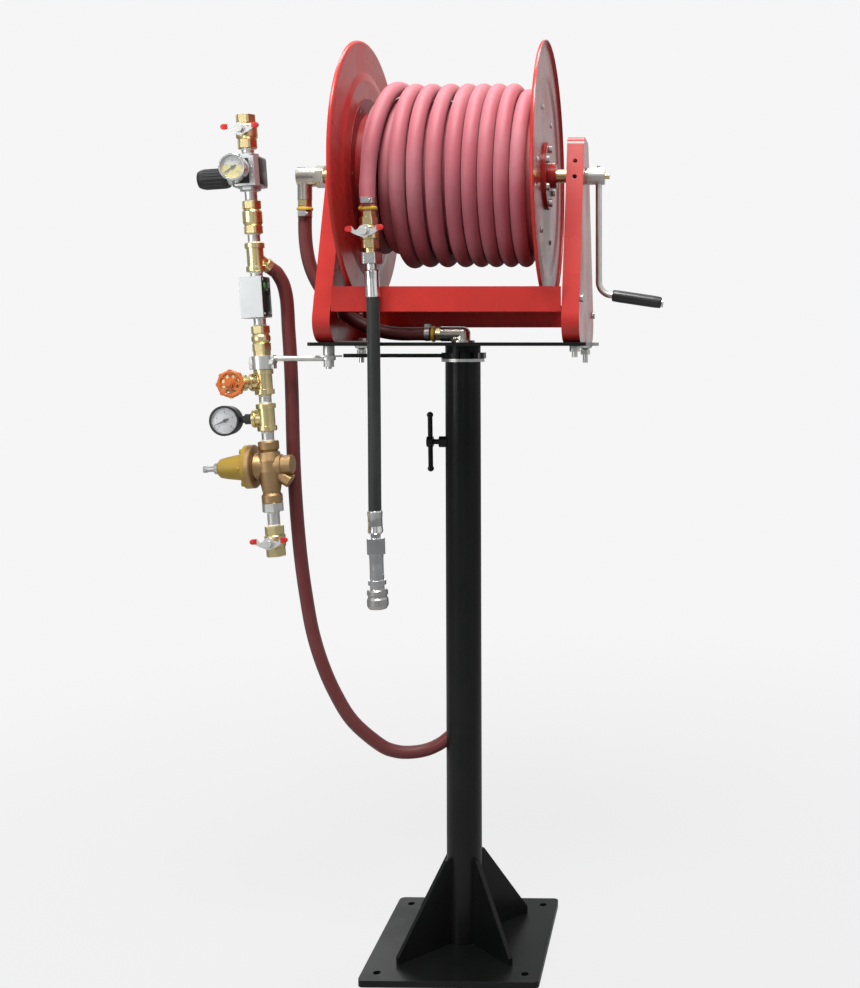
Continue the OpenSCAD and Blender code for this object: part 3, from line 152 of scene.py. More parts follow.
class Finish(Tree):
    """A material whose tree ends in a Principled BSDF."""

    def __init__(self, name, colour, roughness, metallic=0.0, coat=0.0, **steady):
        self.material = bpy.data.materials.new(name)
        self.material.use_nodes = True
        super().__init__(self.material.node_tree)
        self.shader = self.tree.nodes.new("ShaderNodeBsdfPrincipled")
        self.surface(Value(self, self.shader.outputs[0]))
        self.material.diffuse_color = (*colour, 1.0)
        self.set("Base Color", colour)
        self.set("Roughness", roughness)
        self.set("Metallic", metallic)
        self.set("Coat Weight", coat)
        for socket, value in steady.items():
            self.set(socket.replace("_", " "), value)
        self.place = self.node("ShaderNodeTexCoord", out="Object")
        self.around = self.node("ShaderNodeTexCoord", out="UV")

    def set(self, name, value):
        self.put(self.shader.inputs[name], value)

    def axis(self, name):
        index = "XYZ".index(name)
        return self.node("ShaderNodeSeparateXYZ", None, {0: self.place}, index)

    def noise(self, scale, detail=3.0, stretch=(1, 1, 1), rough=0.55):
        """Smooth noise, 0 to 1, with its grain drawn out along the axes with a small stretch."""
        place = self.node("ShaderNodeVectorMath", {"operation": "MULTIPLY"}, {0: self.place, 1: stretch})
        return self.node("ShaderNodeTexNoise", None,
                         {"Vector": place, "Scale": scale, "Detail": detail, "Roughness": rough})

    def mix(self, factor, first, second):
        """The colour first where factor is 0 and second where it is 1."""
        return self.node("ShaderNodeMix", {"data_type": "RGBA"}, {0: factor, 6: first, 7: second}, 2)

    def relief(self, height, depth, rounding=0.0007):
        """Bump from a height, over edges that the Bevel node rounds."""
        edge = self.node("ShaderNodeBevel", {"samples": 4}, {"Radius": rounding})
        bump = self.node("ShaderNodeBump", None, {"Height": height, "Distance": depth, "Normal": edge})
        self.set("Normal", bump)


def dress(node_names, finish):
    """Gives CAD nodes a finish in all their material slots."""
    for name in node_names:
        node = nodes[name]
        node.data.materials.clear()
        node.data.materials.append(finish.material)


# %% [markdown]
# The studio is a pale sweep. The world is near white to the camera and dim as a light. In reflections it
# has light and dark stretches, as a room with windows has, so that round metal shows streaks.

# %% World
BACKDROP = 0.92
WORLD_LIGHT = 0.26
GLOSS_DARK = 0.12
GLOSS_BRIGHT = 0.85
WINDOWS = 9.0
world = bpy.data.worlds.new("studio")
bpy.context.scene.world = world
world.use_nodes = True
sky = Tree(world.node_tree, "ShaderNodeOutputWorld")
aim = sky.node("ShaderNodeTexCoord", out="Generated")
across = sky.node("ShaderNodeSeparateXYZ", None, {0: aim}, "X")
upward = sky.node("ShaderNodeSeparateXYZ", None, {0: aim}, "Z")
window_light = (across * WINDOWS + upward * 2.0).maths("SINE").fade(-0.5, 0.6)
mirrored = window_light * (GLOSS_BRIGHT - GLOSS_DARK) + GLOSS_DARK
reflected = sky.node("ShaderNodeLightPath", out="Is Glossy Ray") * mirrored
shown_share = sky.node("ShaderNodeLightPath", out="Is Camera Ray").maths("MAXIMUM", reflected)
dim = sky.node("ShaderNodeBackground", None, {"Color": (0.93, 0.96, 1.0), "Strength": WORLD_LIGHT})
bright = sky.node("ShaderNodeBackground", None, {"Color": (BACKDROP, BACKDROP, BACKDROP)})
sky.surface(sky.node("ShaderNodeMixShader", None, {0: shown_share, 1: dim, 2: bright}))
print("world light:", WORLD_LIGHT)

# %% [markdown]
# The real floor of such a studio is pale paper that runs up behind the object. A curved sweep would show
# its bend, so this is one flat square that glows for the camera as the world does, a little less near the
# stand, and still takes the stand's shadow.

# %% Floor
bpy.context.scene.view_settings.view_transform = "Standard"

FLOOR = 30.0
GLOW_NEAR = 0.86
GLOW_FROM, GLOW_TO = 0.5, 2.6
floor_mesh = bpy.data.meshes.new("floor")
floor_corners = [(-FLOOR, -FLOOR, 0), (FLOOR, -FLOOR, 0), (FLOOR, FLOOR, 0), (-FLOOR, FLOOR, 0)]
floor_mesh.from_pydata(floor_corners, [], [(0, 1, 2, 3)])
floor = bpy.data.objects.new("floor", floor_mesh)
bpy.context.scene.collection.objects.link(floor)
pale = Finish("pale_floor", (0.45, 0.45, 0.45), 0.75)
glow = pale.node("ShaderNodeEmission", None, {"Color": (BACKDROP, BACKDROP, BACKDROP)})
distance = pale.node("ShaderNodeVectorMath", {"operation": "LENGTH"}, {0: pale.place}, "Value")
glow_level = distance.fade(GLOW_FROM, GLOW_TO) * (1 - GLOW_NEAR) + GLOW_NEAR
glow_share = pale.node("ShaderNodeLightPath", out="Is Camera Ray") * glow_level
lit = Value(pale, pale.shader.outputs[0])
pale.surface(pale.node("ShaderNodeMixShader", None, {0: glow_share, 1: lit, 2: glow}))
floor_mesh.materials.append(pale.material)
print("floor:", 2 * FLOOR, "m wide")

# %% [markdown]
# Four soft lamps stand in for a studio's boxes: a key above and before the reel, a fill from the left, a
# top light for the hose, and a weak one behind for the edges. Sun lamps would be simpler and cast hard
# shadows on the floor.

# %% Lamps
def lamp(name, place, aim, width, height, watts, colour=(1, 1, 1)):
    """An area lamp that faces a point; sizes in metres."""
    light = bpy.data.lights.new(name, "AREA")
    light.shape = "RECTANGLE"
    light.size = width
    light.size_y = height
    light.energy = watts
    light.color = colour
    made = bpy.data.objects.new(name, light)
    bpy.context.scene.collection.objects.link(made)
    made.location = place
    made.rotation_euler = (Vector(aim) - Vector(place)).to_track_quat("-Z", "Y").to_euler()


lamp("key", (0.0, -1.35, 3.9), (0, 0, 1.35), 1.2, 0.9, 118, (1.0, 0.99, 0.98))
lamp("fill", (-2.1, -2.3, 1.5), (0, 0, 1.1), 1.0, 1.4, 26, (0.97, 0.99, 1.0))
lamp("top", (-0.3, 0.5, 3.6), (0, 0, 1.4), 1.4, 0.9, 34)
lamp("back", (-1.2, 2.6, 2.0), (0, 0, 1.2), 1.2, 1.6, 10)

# %% [markdown]
# ## Finishes
# Each finish is a short procedural tree. The grain sizes are real ones, in metres: orange peel in paint is
# a few millimetres across, and brushed or cast metal is finer.

# %% Paint
def painted(name, colour, roughness=0.28, peel=0.00006, scuff_and_sheen_tone=(0.32, 0.3, 0.29), shine=0.32):
    """Powder coat or enamel: a little uneven in tone, with faint orange peel, and upright streaks that are
    scuffs and, on the black paint, also a painted sheen.
    """
    coat = Finish(name, colour, roughness, coat=0.05, Specular_IOR_Level=shine)
    tone = coat.noise(9.0).fade(0.35, 0.7)
    duller = tuple(c * 0.86 + 0.004 for c in colour)
    # Upright streaks in the scuff tone: these are scuffs, and on the black paint, where the streaks are
    # paler, they are also a painted sheen.
    scuffs_and_sheen = coat.noise(38.0, 6.0, (1, 1, 0.4), 0.7).fade(0.64, 0.76)
    coat.set("Base Color", coat.mix(scuffs_and_sheen * 0.16, coat.mix(tone, duller, colour), scuff_and_sheen_tone))
    coat.set("Roughness", roughness + tone * 0.08 + scuffs_and_sheen * 0.2)
    coat.relief(coat.noise(420.0, 2.0), peel)
    return coat


RED = (0.58, 0.034, 0.027)
red_paint = painted("red_paint", RED, 0.24, 0.00005, (0.34, 0.03, 0.03))
dark_red = painted("drum_red", (0.30, 0.012, 0.014), 0.36)
# The black paint's pale streak tone is partly scuffs and partly a painted vertical sheen.
black_paint = painted("black_paint", (0.0035, 0.0045, 0.0038), 0.3, 0.00008, (0.03, 0.03, 0.03), 0.2)
dress(["side_frame_left", "side_frame_right", "frame_beams", "drum_discs", "hub_flanges"], red_paint)
dress(["base_plate", "base_gussets", "post", "turning_arm", "clamp_collar", "deck_plate", "shaft_bearings"],
      black_paint)
print("painted red:", RED)

# %% [markdown]
# The fittings are zinc, chrome, nickel, brass and bronze. Clean metal with one roughness looks like
# plastic, so stains dull the gloss in places and a fine grain breaks up the streaks.

# %% Metal
def metal(name, colour, roughness, grain=0.00003, scale=700.0, stain=0.5, stretch=(1, 1, 1)):
    """Bare or plated metal, with stains in its gloss and a fine grain."""
    bare = Finish(name, colour, roughness, metallic=1.0)
    stains = bare.noise(24.0, 5.0, stretch, 0.65).fade(0.3, 0.75)
    darker = tuple(c * (1 - 0.35 * stain) for c in colour)
    bare.set("Base Color", bare.mix(stains * stain, colour, darker))
    bare.set("Roughness", roughness + stains * 0.16)
    bare.relief(bare.noise(scale, 2.0, stretch), grain)
    return bare


zinc = metal("zinc", (0.72, 0.72, 0.69), 0.32)
steel = metal("ground_steel", (0.52, 0.51, 0.50), 0.26, stretch=(0.1, 1, 1))
chrome = metal("chrome", (0.80, 0.80, 0.80), 0.09, 0.000008, 500.0, 0.2)
nickel = metal("nickel", (0.66, 0.63, 0.57), 0.22)
brass = metal("brass", (0.80, 0.67, 0.35), 0.26, 0.00002)
bronze = metal("cast_bronze", (0.46, 0.30, 0.15), 0.42, 0.0001, 900.0, 0.8)
silver_body = metal("silver_lacquer", (0.62, 0.63, 0.63), 0.38, 0.00003, 1400.0, 0.3)
print("metals:", [f.material.name for f in (zinc, steel, chrome, nickel, brass, bronze, silver_body)])

# %% [markdown]
# Grips, knobs, caps and tape aren't metal. They have a moulded grain, and dust that lifts their colour in
# patches, where a flat colour would look like paint.

# %% Plastic and rubber
def moulded(name, colour, roughness, grain=0.00004, scale=900.0, sheen=0.0):
    """Plastic or rubber with a moulded grain and dust that dulls it in places."""
    soft = Finish(name, colour, roughness, Sheen_Weight=sheen)
    dust = soft.noise(17.0, 5.0).fade(0.45, 0.8)
    dusty = tuple(c * 0.85 + 0.03 for c in colour)
    soft.set("Base Color", soft.mix(dust * 0.5, colour, dusty))
    soft.set("Roughness", roughness + dust * 0.15)
    soft.relief(soft.noise(scale, 3.0), grain)
    return soft


black_plastic = moulded("black_plastic", (0.012, 0.012, 0.013), 0.42)
grip_plastic = moulded("grip_plastic", (0.016, 0.016, 0.017), 0.3)
orange_plastic = moulded("orange_plastic", (0.62, 0.15, 0.02), 0.38)
mustard_paint = painted("mustard_paint", (0.42, 0.27, 0.035), 0.45)
black_rubber = moulded("black_rubber", (0.018, 0.018, 0.020), 0.55, sheen=0.1)
white_tape = moulded("thread_tape", (0.80, 0.80, 0.78), 0.6, 0.0002, 500.0)
yellow_ring = moulded("yellow_ring", (0.80, 0.52, 0.03), 0.4)
red_vinyl = moulded("red_vinyl", (0.62, 0.015, 0.012), 0.35)
print("moulded:", black_plastic.material.name, orange_plastic.material.name)

# %% [markdown]
# The CAD nodes get their finish by name, from one table that pairs each finish with the nodes that wear it.
# The hoses get tubes of their own further down.

# %% Dressing the nodes
WEAR = {
    zinc: ["thrust_washer", "frame_bolts", "hanger_rod", "drum_fasteners", "pipe_clamp", "pipe_nipples",
           "crank_arm", "inlet_valve_handle", "drain_valve_handle", "hose_valve_handle"],
    chrome: ["inlet_valve_ball", "drain_valve_ball", "hose_valve_ball", "regulator_gauge", "whip_fittings",
             "coupler_body"],
    nickel: ["inlet_elbows"],
    steel: ["coupler_sleeve", "reducing_valve_screw"],
    brass: ["check_valves", "branch_tees", "globe_valve_body", "inlet_valve_body", "drain_valve_body",
            "drum_shaft"],
    bronze: ["reducing_valve_body"],
    mustard_paint: ["reducing_valve_bell"],
    silver_body: ["regulator_body", "lockout_body"],
    black_plastic: ["regulator_knob", "lockout_lever", "pressure_gauge", "regulator_needle",
                    "pressure_needle"],
    orange_plastic: ["globe_handwheel"],
    grip_plastic: ["crank_grip"],
    dark_red: ["drum_core"],
    black_rubber: ["whip_hose"],
    black_paint: ["swivel_stem", "lock_handle"],
}
for finish, names in WEAR.items():
    dress(names, finish)

# %% [markdown]
# Two nodes hold pieces of several metals that follow one another along a hose. Their finish changes with
# the distance along it.

# %% Fittings in several finishes
def stacked(name, roughness, bands, reach):
    """A finish in bands of (start in metres, colour, metallic), set out on the distance that reach gives."""
    made = Finish(name, bands[0][1], roughness)
    distance = reach(made)
    colour, metallic = bands[0][1], bands[0][2]
    for low, band_colour, band_metallic in bands[1:]:
        over = distance.above(low)
        colour = made.mix(over, colour, band_colour)
        metallic = over * (band_metallic - metallic) + metallic
    stains = made.noise(24.0, 5.0, (1, 1, 1), 0.65).fade(0.3, 0.75)
    made.set("Base Color", made.mix(stains * 0.3, colour, (0.16, 0.13, 0.09)))
    made.set("Metallic", metallic)
    made.set("Roughness", roughness + stains * 0.15)
    made.relief(made.noise(700.0), 0.00002)
    return made


CHROME_TONE = (0.74, 0.74, 0.73)
BRASS_TONE = (0.80, 0.67, 0.35)
YELLOW_TONE = (0.80, 0.52, 0.03)
VALVE_BRASS_FROM = 1.2888
VALVE_RING_FROM = 1.3625
VALVE_CHROME_FROM = 1.3695
valve_bands = [(0, CHROME_TONE, 1.0), (VALVE_BRASS_FROM, BRASS_TONE, 1.0),
               (VALVE_RING_FROM, YELLOW_TONE, 0.0), (VALVE_CHROME_FROM, CHROME_TONE, 1.0)]
hose_valve_metal = stacked("hose_valve_metal", 0.2, valve_bands, lambda made: made.axis("Z"))
dress(["hose_valve_body"], hose_valve_metal)

UPPER_NUT = 1.389
LOWER_NUT = -0.050
RING_FROM = -0.0085
NUT_FROM = -0.0005


def past_nut(made):
    """The distance past the upper hose's nut or the lower one's, whichever is greater."""
    return (made.axis("Z") - UPPER_NUT).maths("MAXIMUM", made.axis("X") - LOWER_NUT)


inlet_bands = [(-1, CHROME_TONE, 1.0), (RING_FROM, YELLOW_TONE, 0.0), (NUT_FROM, BRASS_TONE, 1.0)]
inlet_metal = stacked("inlet_fitting_metal", 0.28, inlet_bands, past_nut)
dress(["inlet_fittings"], inlet_metal)
print("dressed by name:", sum(len(names) for names in WEAR.values()))

# %% [markdown]
# ## Hoses
# Every hose is a tube swept along its route. The sweep carries one frame along the path without twist, and
# keeps the distance travelled in a UV map, so that a woven cover can follow the hose.

# %% Sweeping a tube
MM = 0.001


def smooth(points, steps):
    """A Catmull-Rom curve through the points."""
    out = []
    for i in range(len(points) - 1):
        a, b, c, d = (points[min(max(j, 0), len(points) - 1)] for j in (i - 1, i, i + 1, i + 2))
        for k in range(steps):
            t = k / steps
            bend = 2 * a - 5 * b + 4 * c - d
            twist = 3 * (b - c) + d - a
            out.append(b + 0.5 * t * ((c - a) + t * (bend + t * twist)))
    return [*out, points[-1]]


def path_length(points):
    return sum((b - a).length for a, b in zip(points, points[1:]))


def sweep(name, points, radius, finish, sides, body=None):
    """A round tube along the points, riding the body, or at rest when there is none."""
    mesh = bpy.data.meshes.new(name)
    bm = bmesh.new()
    layer = bm.loops.layers.uv.new("along")
    forward = (points[1] - points[0]).normalized()
    side = forward.orthogonal().normalized()
    rings = []
    along = []
    travelled = 0.0
    for i, point in enumerate(points):
        ahead = (points[min(i + 1, len(points) - 1)] - points[max(i - 1, 0)]).normalized()
        side = (forward.rotation_difference(ahead) @ side).normalized()
        forward = ahead
        up = forward.cross(side)
        if i:
            travelled += (point - points[i - 1]).length
        along.append(travelled)
        turn = [2 * math.pi * k / sides for k in range(sides)]
        rings.append([bm.verts.new(point + radius * (math.cos(t) * side + math.sin(t) * up)) for t in turn])
    for i in range(len(rings) - 1):
        for k in range(sides):
            n = (k + 1) % sides
            face = bm.faces.new((rings[i][k], rings[i][n], rings[i + 1][n], rings[i + 1][k]))
            face.smooth = True
            corners = ((k, i), (k + 1, i), (k + 1, i + 1), (k, i + 1))
            for loop, (u, v) in zip(face.loops, corners):
                loop[layer].uv = (u / sides, along[v])
    bm.faces.new(rings[0][::-1])
    bm.faces.new(rings[-1])
    bm.to_mesh(mesh)
    bm.free()
    mesh.materials.append(finish.material)
    made = bpy.data.objects.new(name, mesh)
    bpy.context.scene.collection.objects.link(made)
    if body:
        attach(made, body)
    return made


# %% [markdown]
# The reel hose has a smooth rubber cover over a wound cloth, whose weave shows as fine slanting lines. Dust
# pales it in blotches and grime darkens it in small patches.

# %% Hose covers
def cover(name, colour, radius, roughness=0.55, pitch=0.0032, depth=0.00014, fade=0.25):
    """A rubber hose cover with the wrap of its cloth, from the UV map: U goes round and V along."""
    skin = Finish(name, colour, roughness, Sheen_Weight=0.12)
    split = skin.node("ShaderNodeSeparateXYZ", None, {0: skin.around})
    along = skin.node("ShaderNodeSeparateXYZ", None, {0: skin.around}, 1)
    lead = 2 * math.pi * radius / pitch
    turns_round = split * (2 * math.pi * round(lead))
    wrap = (along * (2 * math.pi / pitch) + turns_round).maths("SINE")
    blotch = skin.noise(11.0, 5.0).fade(0.4, 0.75)
    grime = skin.noise(130.0, 4.0).fade(0.55, 0.8)
    pale = tuple(c + (0.62 - c) * fade for c in colour)
    dark = tuple(c * 0.72 for c in colour)
    tone = skin.mix(blotch * 0.55, colour, pale)
    skin.set("Base Color", skin.mix(grime * 0.35, tone, dark))
    skin.set("Roughness", roughness + blotch * 0.18)
    skin.relief(wrap * 0.5 + skin.noise(900.0, 2.0), depth, 0.0002)
    return skin


# Outside diameters, in millimetres.
HOSE_D = 27.5
SUPPLY_D = 24.0
INLET_D = 25.0
WHIP_D = 22.5
reel_cover = cover("reel_hose_cover", (0.47, 0.115, 0.145), HOSE_D / 2 * MM)
supply_cover = cover("supply_hose_cover", (0.13, 0.014, 0.013), SUPPLY_D / 2 * MM, 0.42, 0.0028, 0.0001, 0.03)
whip_cover = cover("whip_hose_cover", (0.008, 0.010, 0.009), WHIP_D / 2 * MM, 0.5, 0.0026, 0.0001, 0.03)
print("covers:", reel_cover.material.name, supply_cover.material.name, whip_cover.material.name)

# %% [markdown]
# The routes are those of the CAD tubes, in millimetres. The supply hose comes down beside the post, goes in
# at its foot and up inside it to the swivel, where the real hose bends as the head turns; here it stays at
# rest.
# The short inlet hose joins the swivel to the elbow on the drum's axle, and the black whip hangs below the
# hose valve.

# %% Routes of the free hoses
SUPPLY_ROUTE = [
    (-327.6, -97.6, 1267.9), (-323.6, -94.2, 1264), (-318.6, -90, 1259.2), (-310, -82.8, 1240.5),
    (-305.4, -79, 1217.2), (-303.5, -78, 1193), (-302, -78, 1160), (-299.5, -78, 1120), (-297.5, -78, 1075),
    (-296, -78.5, 1030), (-295, -79, 980), (-294, -78, 925), (-292, -76, 865), (-289, -72, 800),
    (-285, -66, 735), (-278, -61, 670), (-268, -57, 605), (-252, -53, 545), (-230, -46, 487),
    (-200, -36, 431), (-153, -24, 384), (-125, -16, 369), (-98, -9, 365), (-70, -3, 368), (-46, 0, 378),
    (-30, 0, 390), (-15, 0, 404), (-3.5, 0, 420), (5, 0, 441), (9.5, 0, 462), (10.5, 0, 490), (8, 0, 550),
    (3, 0, 620), (0, 0, 700), (0, 0, 780), (0, 0, 860), (0, 0, 940), (0, 0, 1020), (0, 0, 1060), (0, 0, 1100)]
INLET_ROUTE = [
    (-296, 0, 1389), (-296, 0, 1366), (-296, 0, 1342), (-294, 0, 1314), (-289, 0, 1286), (-280, 0, 1260),
    (-267, 0, 1236), (-250, 0, 1214), (-229, 0, 1194), (-205, 0, 1176), (-178, 0, 1163), (-149, 0, 1154),
    (-118, 0, 1150), (-84, 0, 1150), (-50, 0, 1150)]
WHIP_ROUTE = [
    (-127.3, -164.5, 1254), (-126.2, -164.5, 1233), (-125.3, -164.5, 1210), (-124.6, -164.5, 1160),
    (-124.1, -164.5, 1100), (-123.8, -164.5, 1040), (-123.6, -164.5, 980), (-123.5, -164.5, 920),
    (-123.4, -164.5, 870), (-123.2, -164.5, 841), (-122.4, -164.5, 806)]


def route(points):
    return smooth([Vector(p) * MM for p in points], 5)


def free_hose(name, points, diameter, finish, body):
    """A hose swept along its route, riding the body."""
    made = sweep(name, points, diameter / 2 * MM, finish, 28, body)
    path_length(points)
    return made


supply = free_hose("supply_line", route(SUPPLY_ROUTE), SUPPLY_D, supply_cover, None)
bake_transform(supply)
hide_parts("supply_hose")
inlet = free_hose("inlet_line", route(INLET_ROUTE), INLET_D, supply_cover, "head")
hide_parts("inlet_hose")
whip = free_hose("whip_line", route(WHIP_ROUTE), WHIP_D, whip_cover, "head")
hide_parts("whip_hose")
free_routes = (SUPPLY_ROUTE, INLET_ROUTE, WHIP_ROUTE)
print("supply, inlet and whip:", [round(path_length(route(r)), 3) for r in free_routes])

# %% [markdown]
# On the drum, an angle of 0 is at the front and 90 is on top. The upper layer lies a little unevenly, so
# each turn's place along the drum is its own. The lower layer runs on under it, with each turn in the
# valley between two others. A screw modifier would wind an even helix in one step, but it can't leave gaps
# or climb from layer to layer.

# %% Hose on the drum
# Radii of the hose's centre line, places along the axle in millimetres, and angles in degrees.
AXIS_Z = 1444.0
FIRST_R = 131.0
OUTER_R = 155.5
CROSS_R = FIRST_R + HOSE_D + 0.8
CROSS_FROM, CROSS_TO = 225, 315
OUTER_START = 150
OUTER_END = 9 * 360
LEAD_IN = 28.5
TURN_GAPS = (2.5, 6.5, 6.5, 0.5, 0.5, 0.5, 0.5)
TURNS = len(TURN_GAPS) + 1
TURN_X = [-85.0 + sum(HOSE_D + gap for gap in TURN_GAPS[:n]) for n in range(TURNS)]
RIGHT_X = 139.4
STEP = 5


def on_drum(angle, radius, x):
    turn = math.radians(angle)
    return Vector((x, -radius * math.cos(turn), AXIS_Z + radius * math.sin(turn))) * MM


def between(values, t):
    n = min(int(t), len(values) - 2)
    return values[n] + (values[n + 1] - values[n]) * (t - n)


def outer_x(angle):
    turn = angle / 360
    if turn < 1:
        return TURN_X[0] - LEAD_IN * (1 - turn)
    if turn < TURNS:
        return between(TURN_X, turn - 1)
    return TURN_X[-1] + (RIGHT_X - TURN_X[-1]) * min(1, (turn - TURNS) * 2)


def outer_radius(angle):
    if angle < CROSS_TO:
        down = (angle - CROSS_FROM) / (CROSS_TO - CROSS_FROM)
        return CROSS_R + (OUTER_R - CROSS_R) * min(max(down, 0), 1)
    return OUTER_R + (FIRST_R - OUTER_R) * min(1, max(0, angle / 360 - TURNS) * 2)


# The lower layer: its open turns' start, pitch and span, and then the places of the turns in the valleys.
STUB_X = -155.4
FIRST_START = 195
FIRST_PITCH = 31
OPEN_SPAN = 690
DIP_AFTER = 700
DIP = 1.1
LOWER_X = [-156.7, -141.2, -110.2, -74, -38, -4, 27, 55, 83, 111]
LOWER_END = 9 * 360
# The last turn's end slips under, this many degrees on, this much nearer the axle and this far to the left.
UNDER = 60
SINK = 3
SLIDE = 18
END_HOLD = 15


def lower_x(angle):
    """Two turns in the open, at the pitch that they lie at, and then one turn in each valley."""
    open_turns = STUB_X + FIRST_PITCH * (angle - FIRST_START) / 360
    return open_turns if angle < FIRST_START + OPEN_SPAN else between(LOWER_X, angle / 360)


upper_path = [on_drum(a, outer_radius(a), outer_x(min(a, OUTER_END - END_HOLD)))
              for a in range(OUTER_START, OUTER_END + 1, STEP)]
upper_path += [on_drum(OUTER_END + a, FIRST_R - SINK * a / UNDER, RIGHT_X - SLIDE * (a / UNDER) ** 2)
               for a in range(STEP, UNDER + 1, STEP)]
lower_path = [on_drum(a, FIRST_R - (DIP if a > FIRST_START + DIP_AFTER else 0), lower_x(a))
              for a in range(FIRST_START, LOWER_END + 1, STEP)]
upper = sweep("hose_upper_turns", upper_path, HOSE_D / 2 * MM, reel_cover, 20, "drum")
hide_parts("hose_outer_turns", "hose_inner_layer")
lower = sweep("hose_lower_turns", lower_path, HOSE_D / 2 * MM, reel_cover, 16, "drum")
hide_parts("hose_first_turns")
TAIL_X = -133.0
TAIL_OVERLAP = 0.3
tail_arc = [on_drum(a - (TAIL_OVERLAP if a == OUTER_START else 0), CROSS_R,
                    TAIL_X + (outer_x(OUTER_START) - TAIL_X) * math.sin(math.radians(90 * a / OUTER_START)))
            for a in range(OUTER_START, -1, -STEP)]
TAIL_DROP = [(-134.1, -161.6, 1419), (-134.5, -164.5, 1391.8), (-132.9, -164.5, 1361.1)]
tail_path = tail_arc + smooth([tail_arc[-1], *(Vector(p) * MM for p in TAIL_DROP)], 4)[1:]
tail = free_hose("hose_free_end", tail_path, HOSE_D, reel_cover, "head")
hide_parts("hose_tail")
print("turns:", round(path_length(upper_path), 2), "m above,", round(path_length(lower_path), 2), "m below")

# %% [markdown]
# ## Details
# Small parts are turned or extruded from outlines, in a frame of their own, because a bmesh keeps its edges
# where the drawing has them. `PIPE` runs up the manifold's pipe and `CHAIN` up the hose valve, and Y points
# away from the operator.

# %% Frames and makers of small parts
PIPE = Matrix.Translation(Vector((-336, -115, 1098)) * MM) @ Matrix.Rotation(math.radians(-3.698), 4, "Y")
CHAIN = Matrix.Translation(Vector((-125, -164.5, 1210)) * MM) @ Matrix.Rotation(math.radians(-3), 4, "Y")
TO_FRONT = Matrix.Rotation(math.radians(90), 4, "X")
ALONG_X = Matrix.Rotation(math.radians(90), 4, "Y")


def at(frame_of, x=0.0, y=0.0, z=0.0, *turns):
    """A place in a frame, in millimetres, turned by the matrices that follow."""
    place = frame_of @ Matrix.Translation(Vector((x, y, z)) * MM)
    for turn in turns:
        place = place @ turn
    return place


def piece(name, bm, finish, body, flat=False):
    """A finished piece from a bmesh in metres, riding a body."""
    bmesh.ops.recalc_face_normals(bm, faces=bm.faces)
    mesh = bpy.data.meshes.new(name)
    bm.to_mesh(mesh)
    bm.free()
    for face in mesh.polygons:
        face.use_smooth = not flat
    if not flat:
        mesh.set_sharp_from_angle(angle=math.radians(35))
    mesh.materials.append(finish.material)
    made = bpy.data.objects.new(name, mesh)
    bpy.context.scene.collection.objects.link(made)
    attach(made, body)
    return made


def add_turned(bm, place, profile, sides=48):
    """Adds a solid turned about Z from (radius, height) pairs in millimetres."""
    rings = []
    for radius, height in profile:
        angles = [2 * math.pi * k / sides for k in range(sides)] if radius > 0 else [0.0]
        spots = [Vector((radius * math.cos(t), radius * math.sin(t), height)) for t in angles]
        rings.append([bm.verts.new(place @ (spot * MM)) for spot in spots])
    for low, high in zip(rings, rings[1:]):
        for k in range(sides):
            n = (k + 1) % sides
            corners = [low[k % len(low)], low[n % len(low)], high[n % len(high)], high[k % len(high)]]
            corners = list(dict.fromkeys(corners))
            if len(corners) > 2:
                bm.faces.new(corners)
    return bm


def add_prism(bm, place, outline, low, high):
    """Adds a straight prism over an outline of (x, y) pairs in millimetres."""
    floor_ring = [bm.verts.new(place @ (Vector((x, y, low)) * MM)) for x, y in outline]
    roof_ring = [bm.verts.new(place @ (Vector((x, y, high)) * MM)) for x, y in outline]
    bm.faces.new(floor_ring[::-1])
    bm.faces.new(roof_ring)
    for k in range(len(outline)):
        n = (k + 1) % len(outline)
        bm.faces.new((floor_ring[k], floor_ring[n], roof_ring[n], roof_ring[k]))
    return bm


def rounded(width, height, radius, x=0.0, y=0.0, steps=6):
    """The outline of a rectangle with round corners."""
    corners = ((1, 1, 0), (-1, 1, 90), (-1, -1, 180), (1, -1, 270))
    out = []
    for sx, sy, start in corners:
        for k in range(steps + 1):
            t = math.radians(start + 90 * k / steps)
            out.append((x + sx * (width / 2 - radius) + radius * math.cos(t),
                        y + sy * (height / 2 - radius) + radius * math.sin(t)))
    return out


def turned(name, place, profile, finish, body, sides=48):
    return piece(name, add_turned(bmesh.new(), place, profile, sides), finish, body)


# %% [markdown]
# White sealing tape shows as a frayed band where each nipple's thread goes into its socket.

# %% Thread tape
TAPE_R = 21.3 / 2
# Heights of the bands along the pipe.
TAPED = (152.9, 160.6, 213.6, 228.4, 287.6, 304.2, 371.0, 378.6, -139.2, -124.0, -290.6, -268.2, 66.0, 78.6,
         -72.2, -59.0)
tape = bmesh.new()
for n, height in enumerate(TAPED):
    wide = 1.6 + 0.5 * math.sin(2.3 * n)
    profile = [(TAPE_R, -wide), (TAPE_R + 0.45, -wide * 0.8), (TAPE_R + 0.7, 0), (TAPE_R + 0.4, wide * 0.7),
               (TAPE_R, wide)]
    add_turned(tape, at(PIPE, z=height), profile, 40)
piece("thread_tape", tape, white_tape, "head")
print("tape bands:", len(TAPED))

# %% [markdown]
# Both gauges get a printed dial with plain numbers behind a clear window. The one on the regulator is
# filled with yellowish oil, up to a level that shows on its dial.

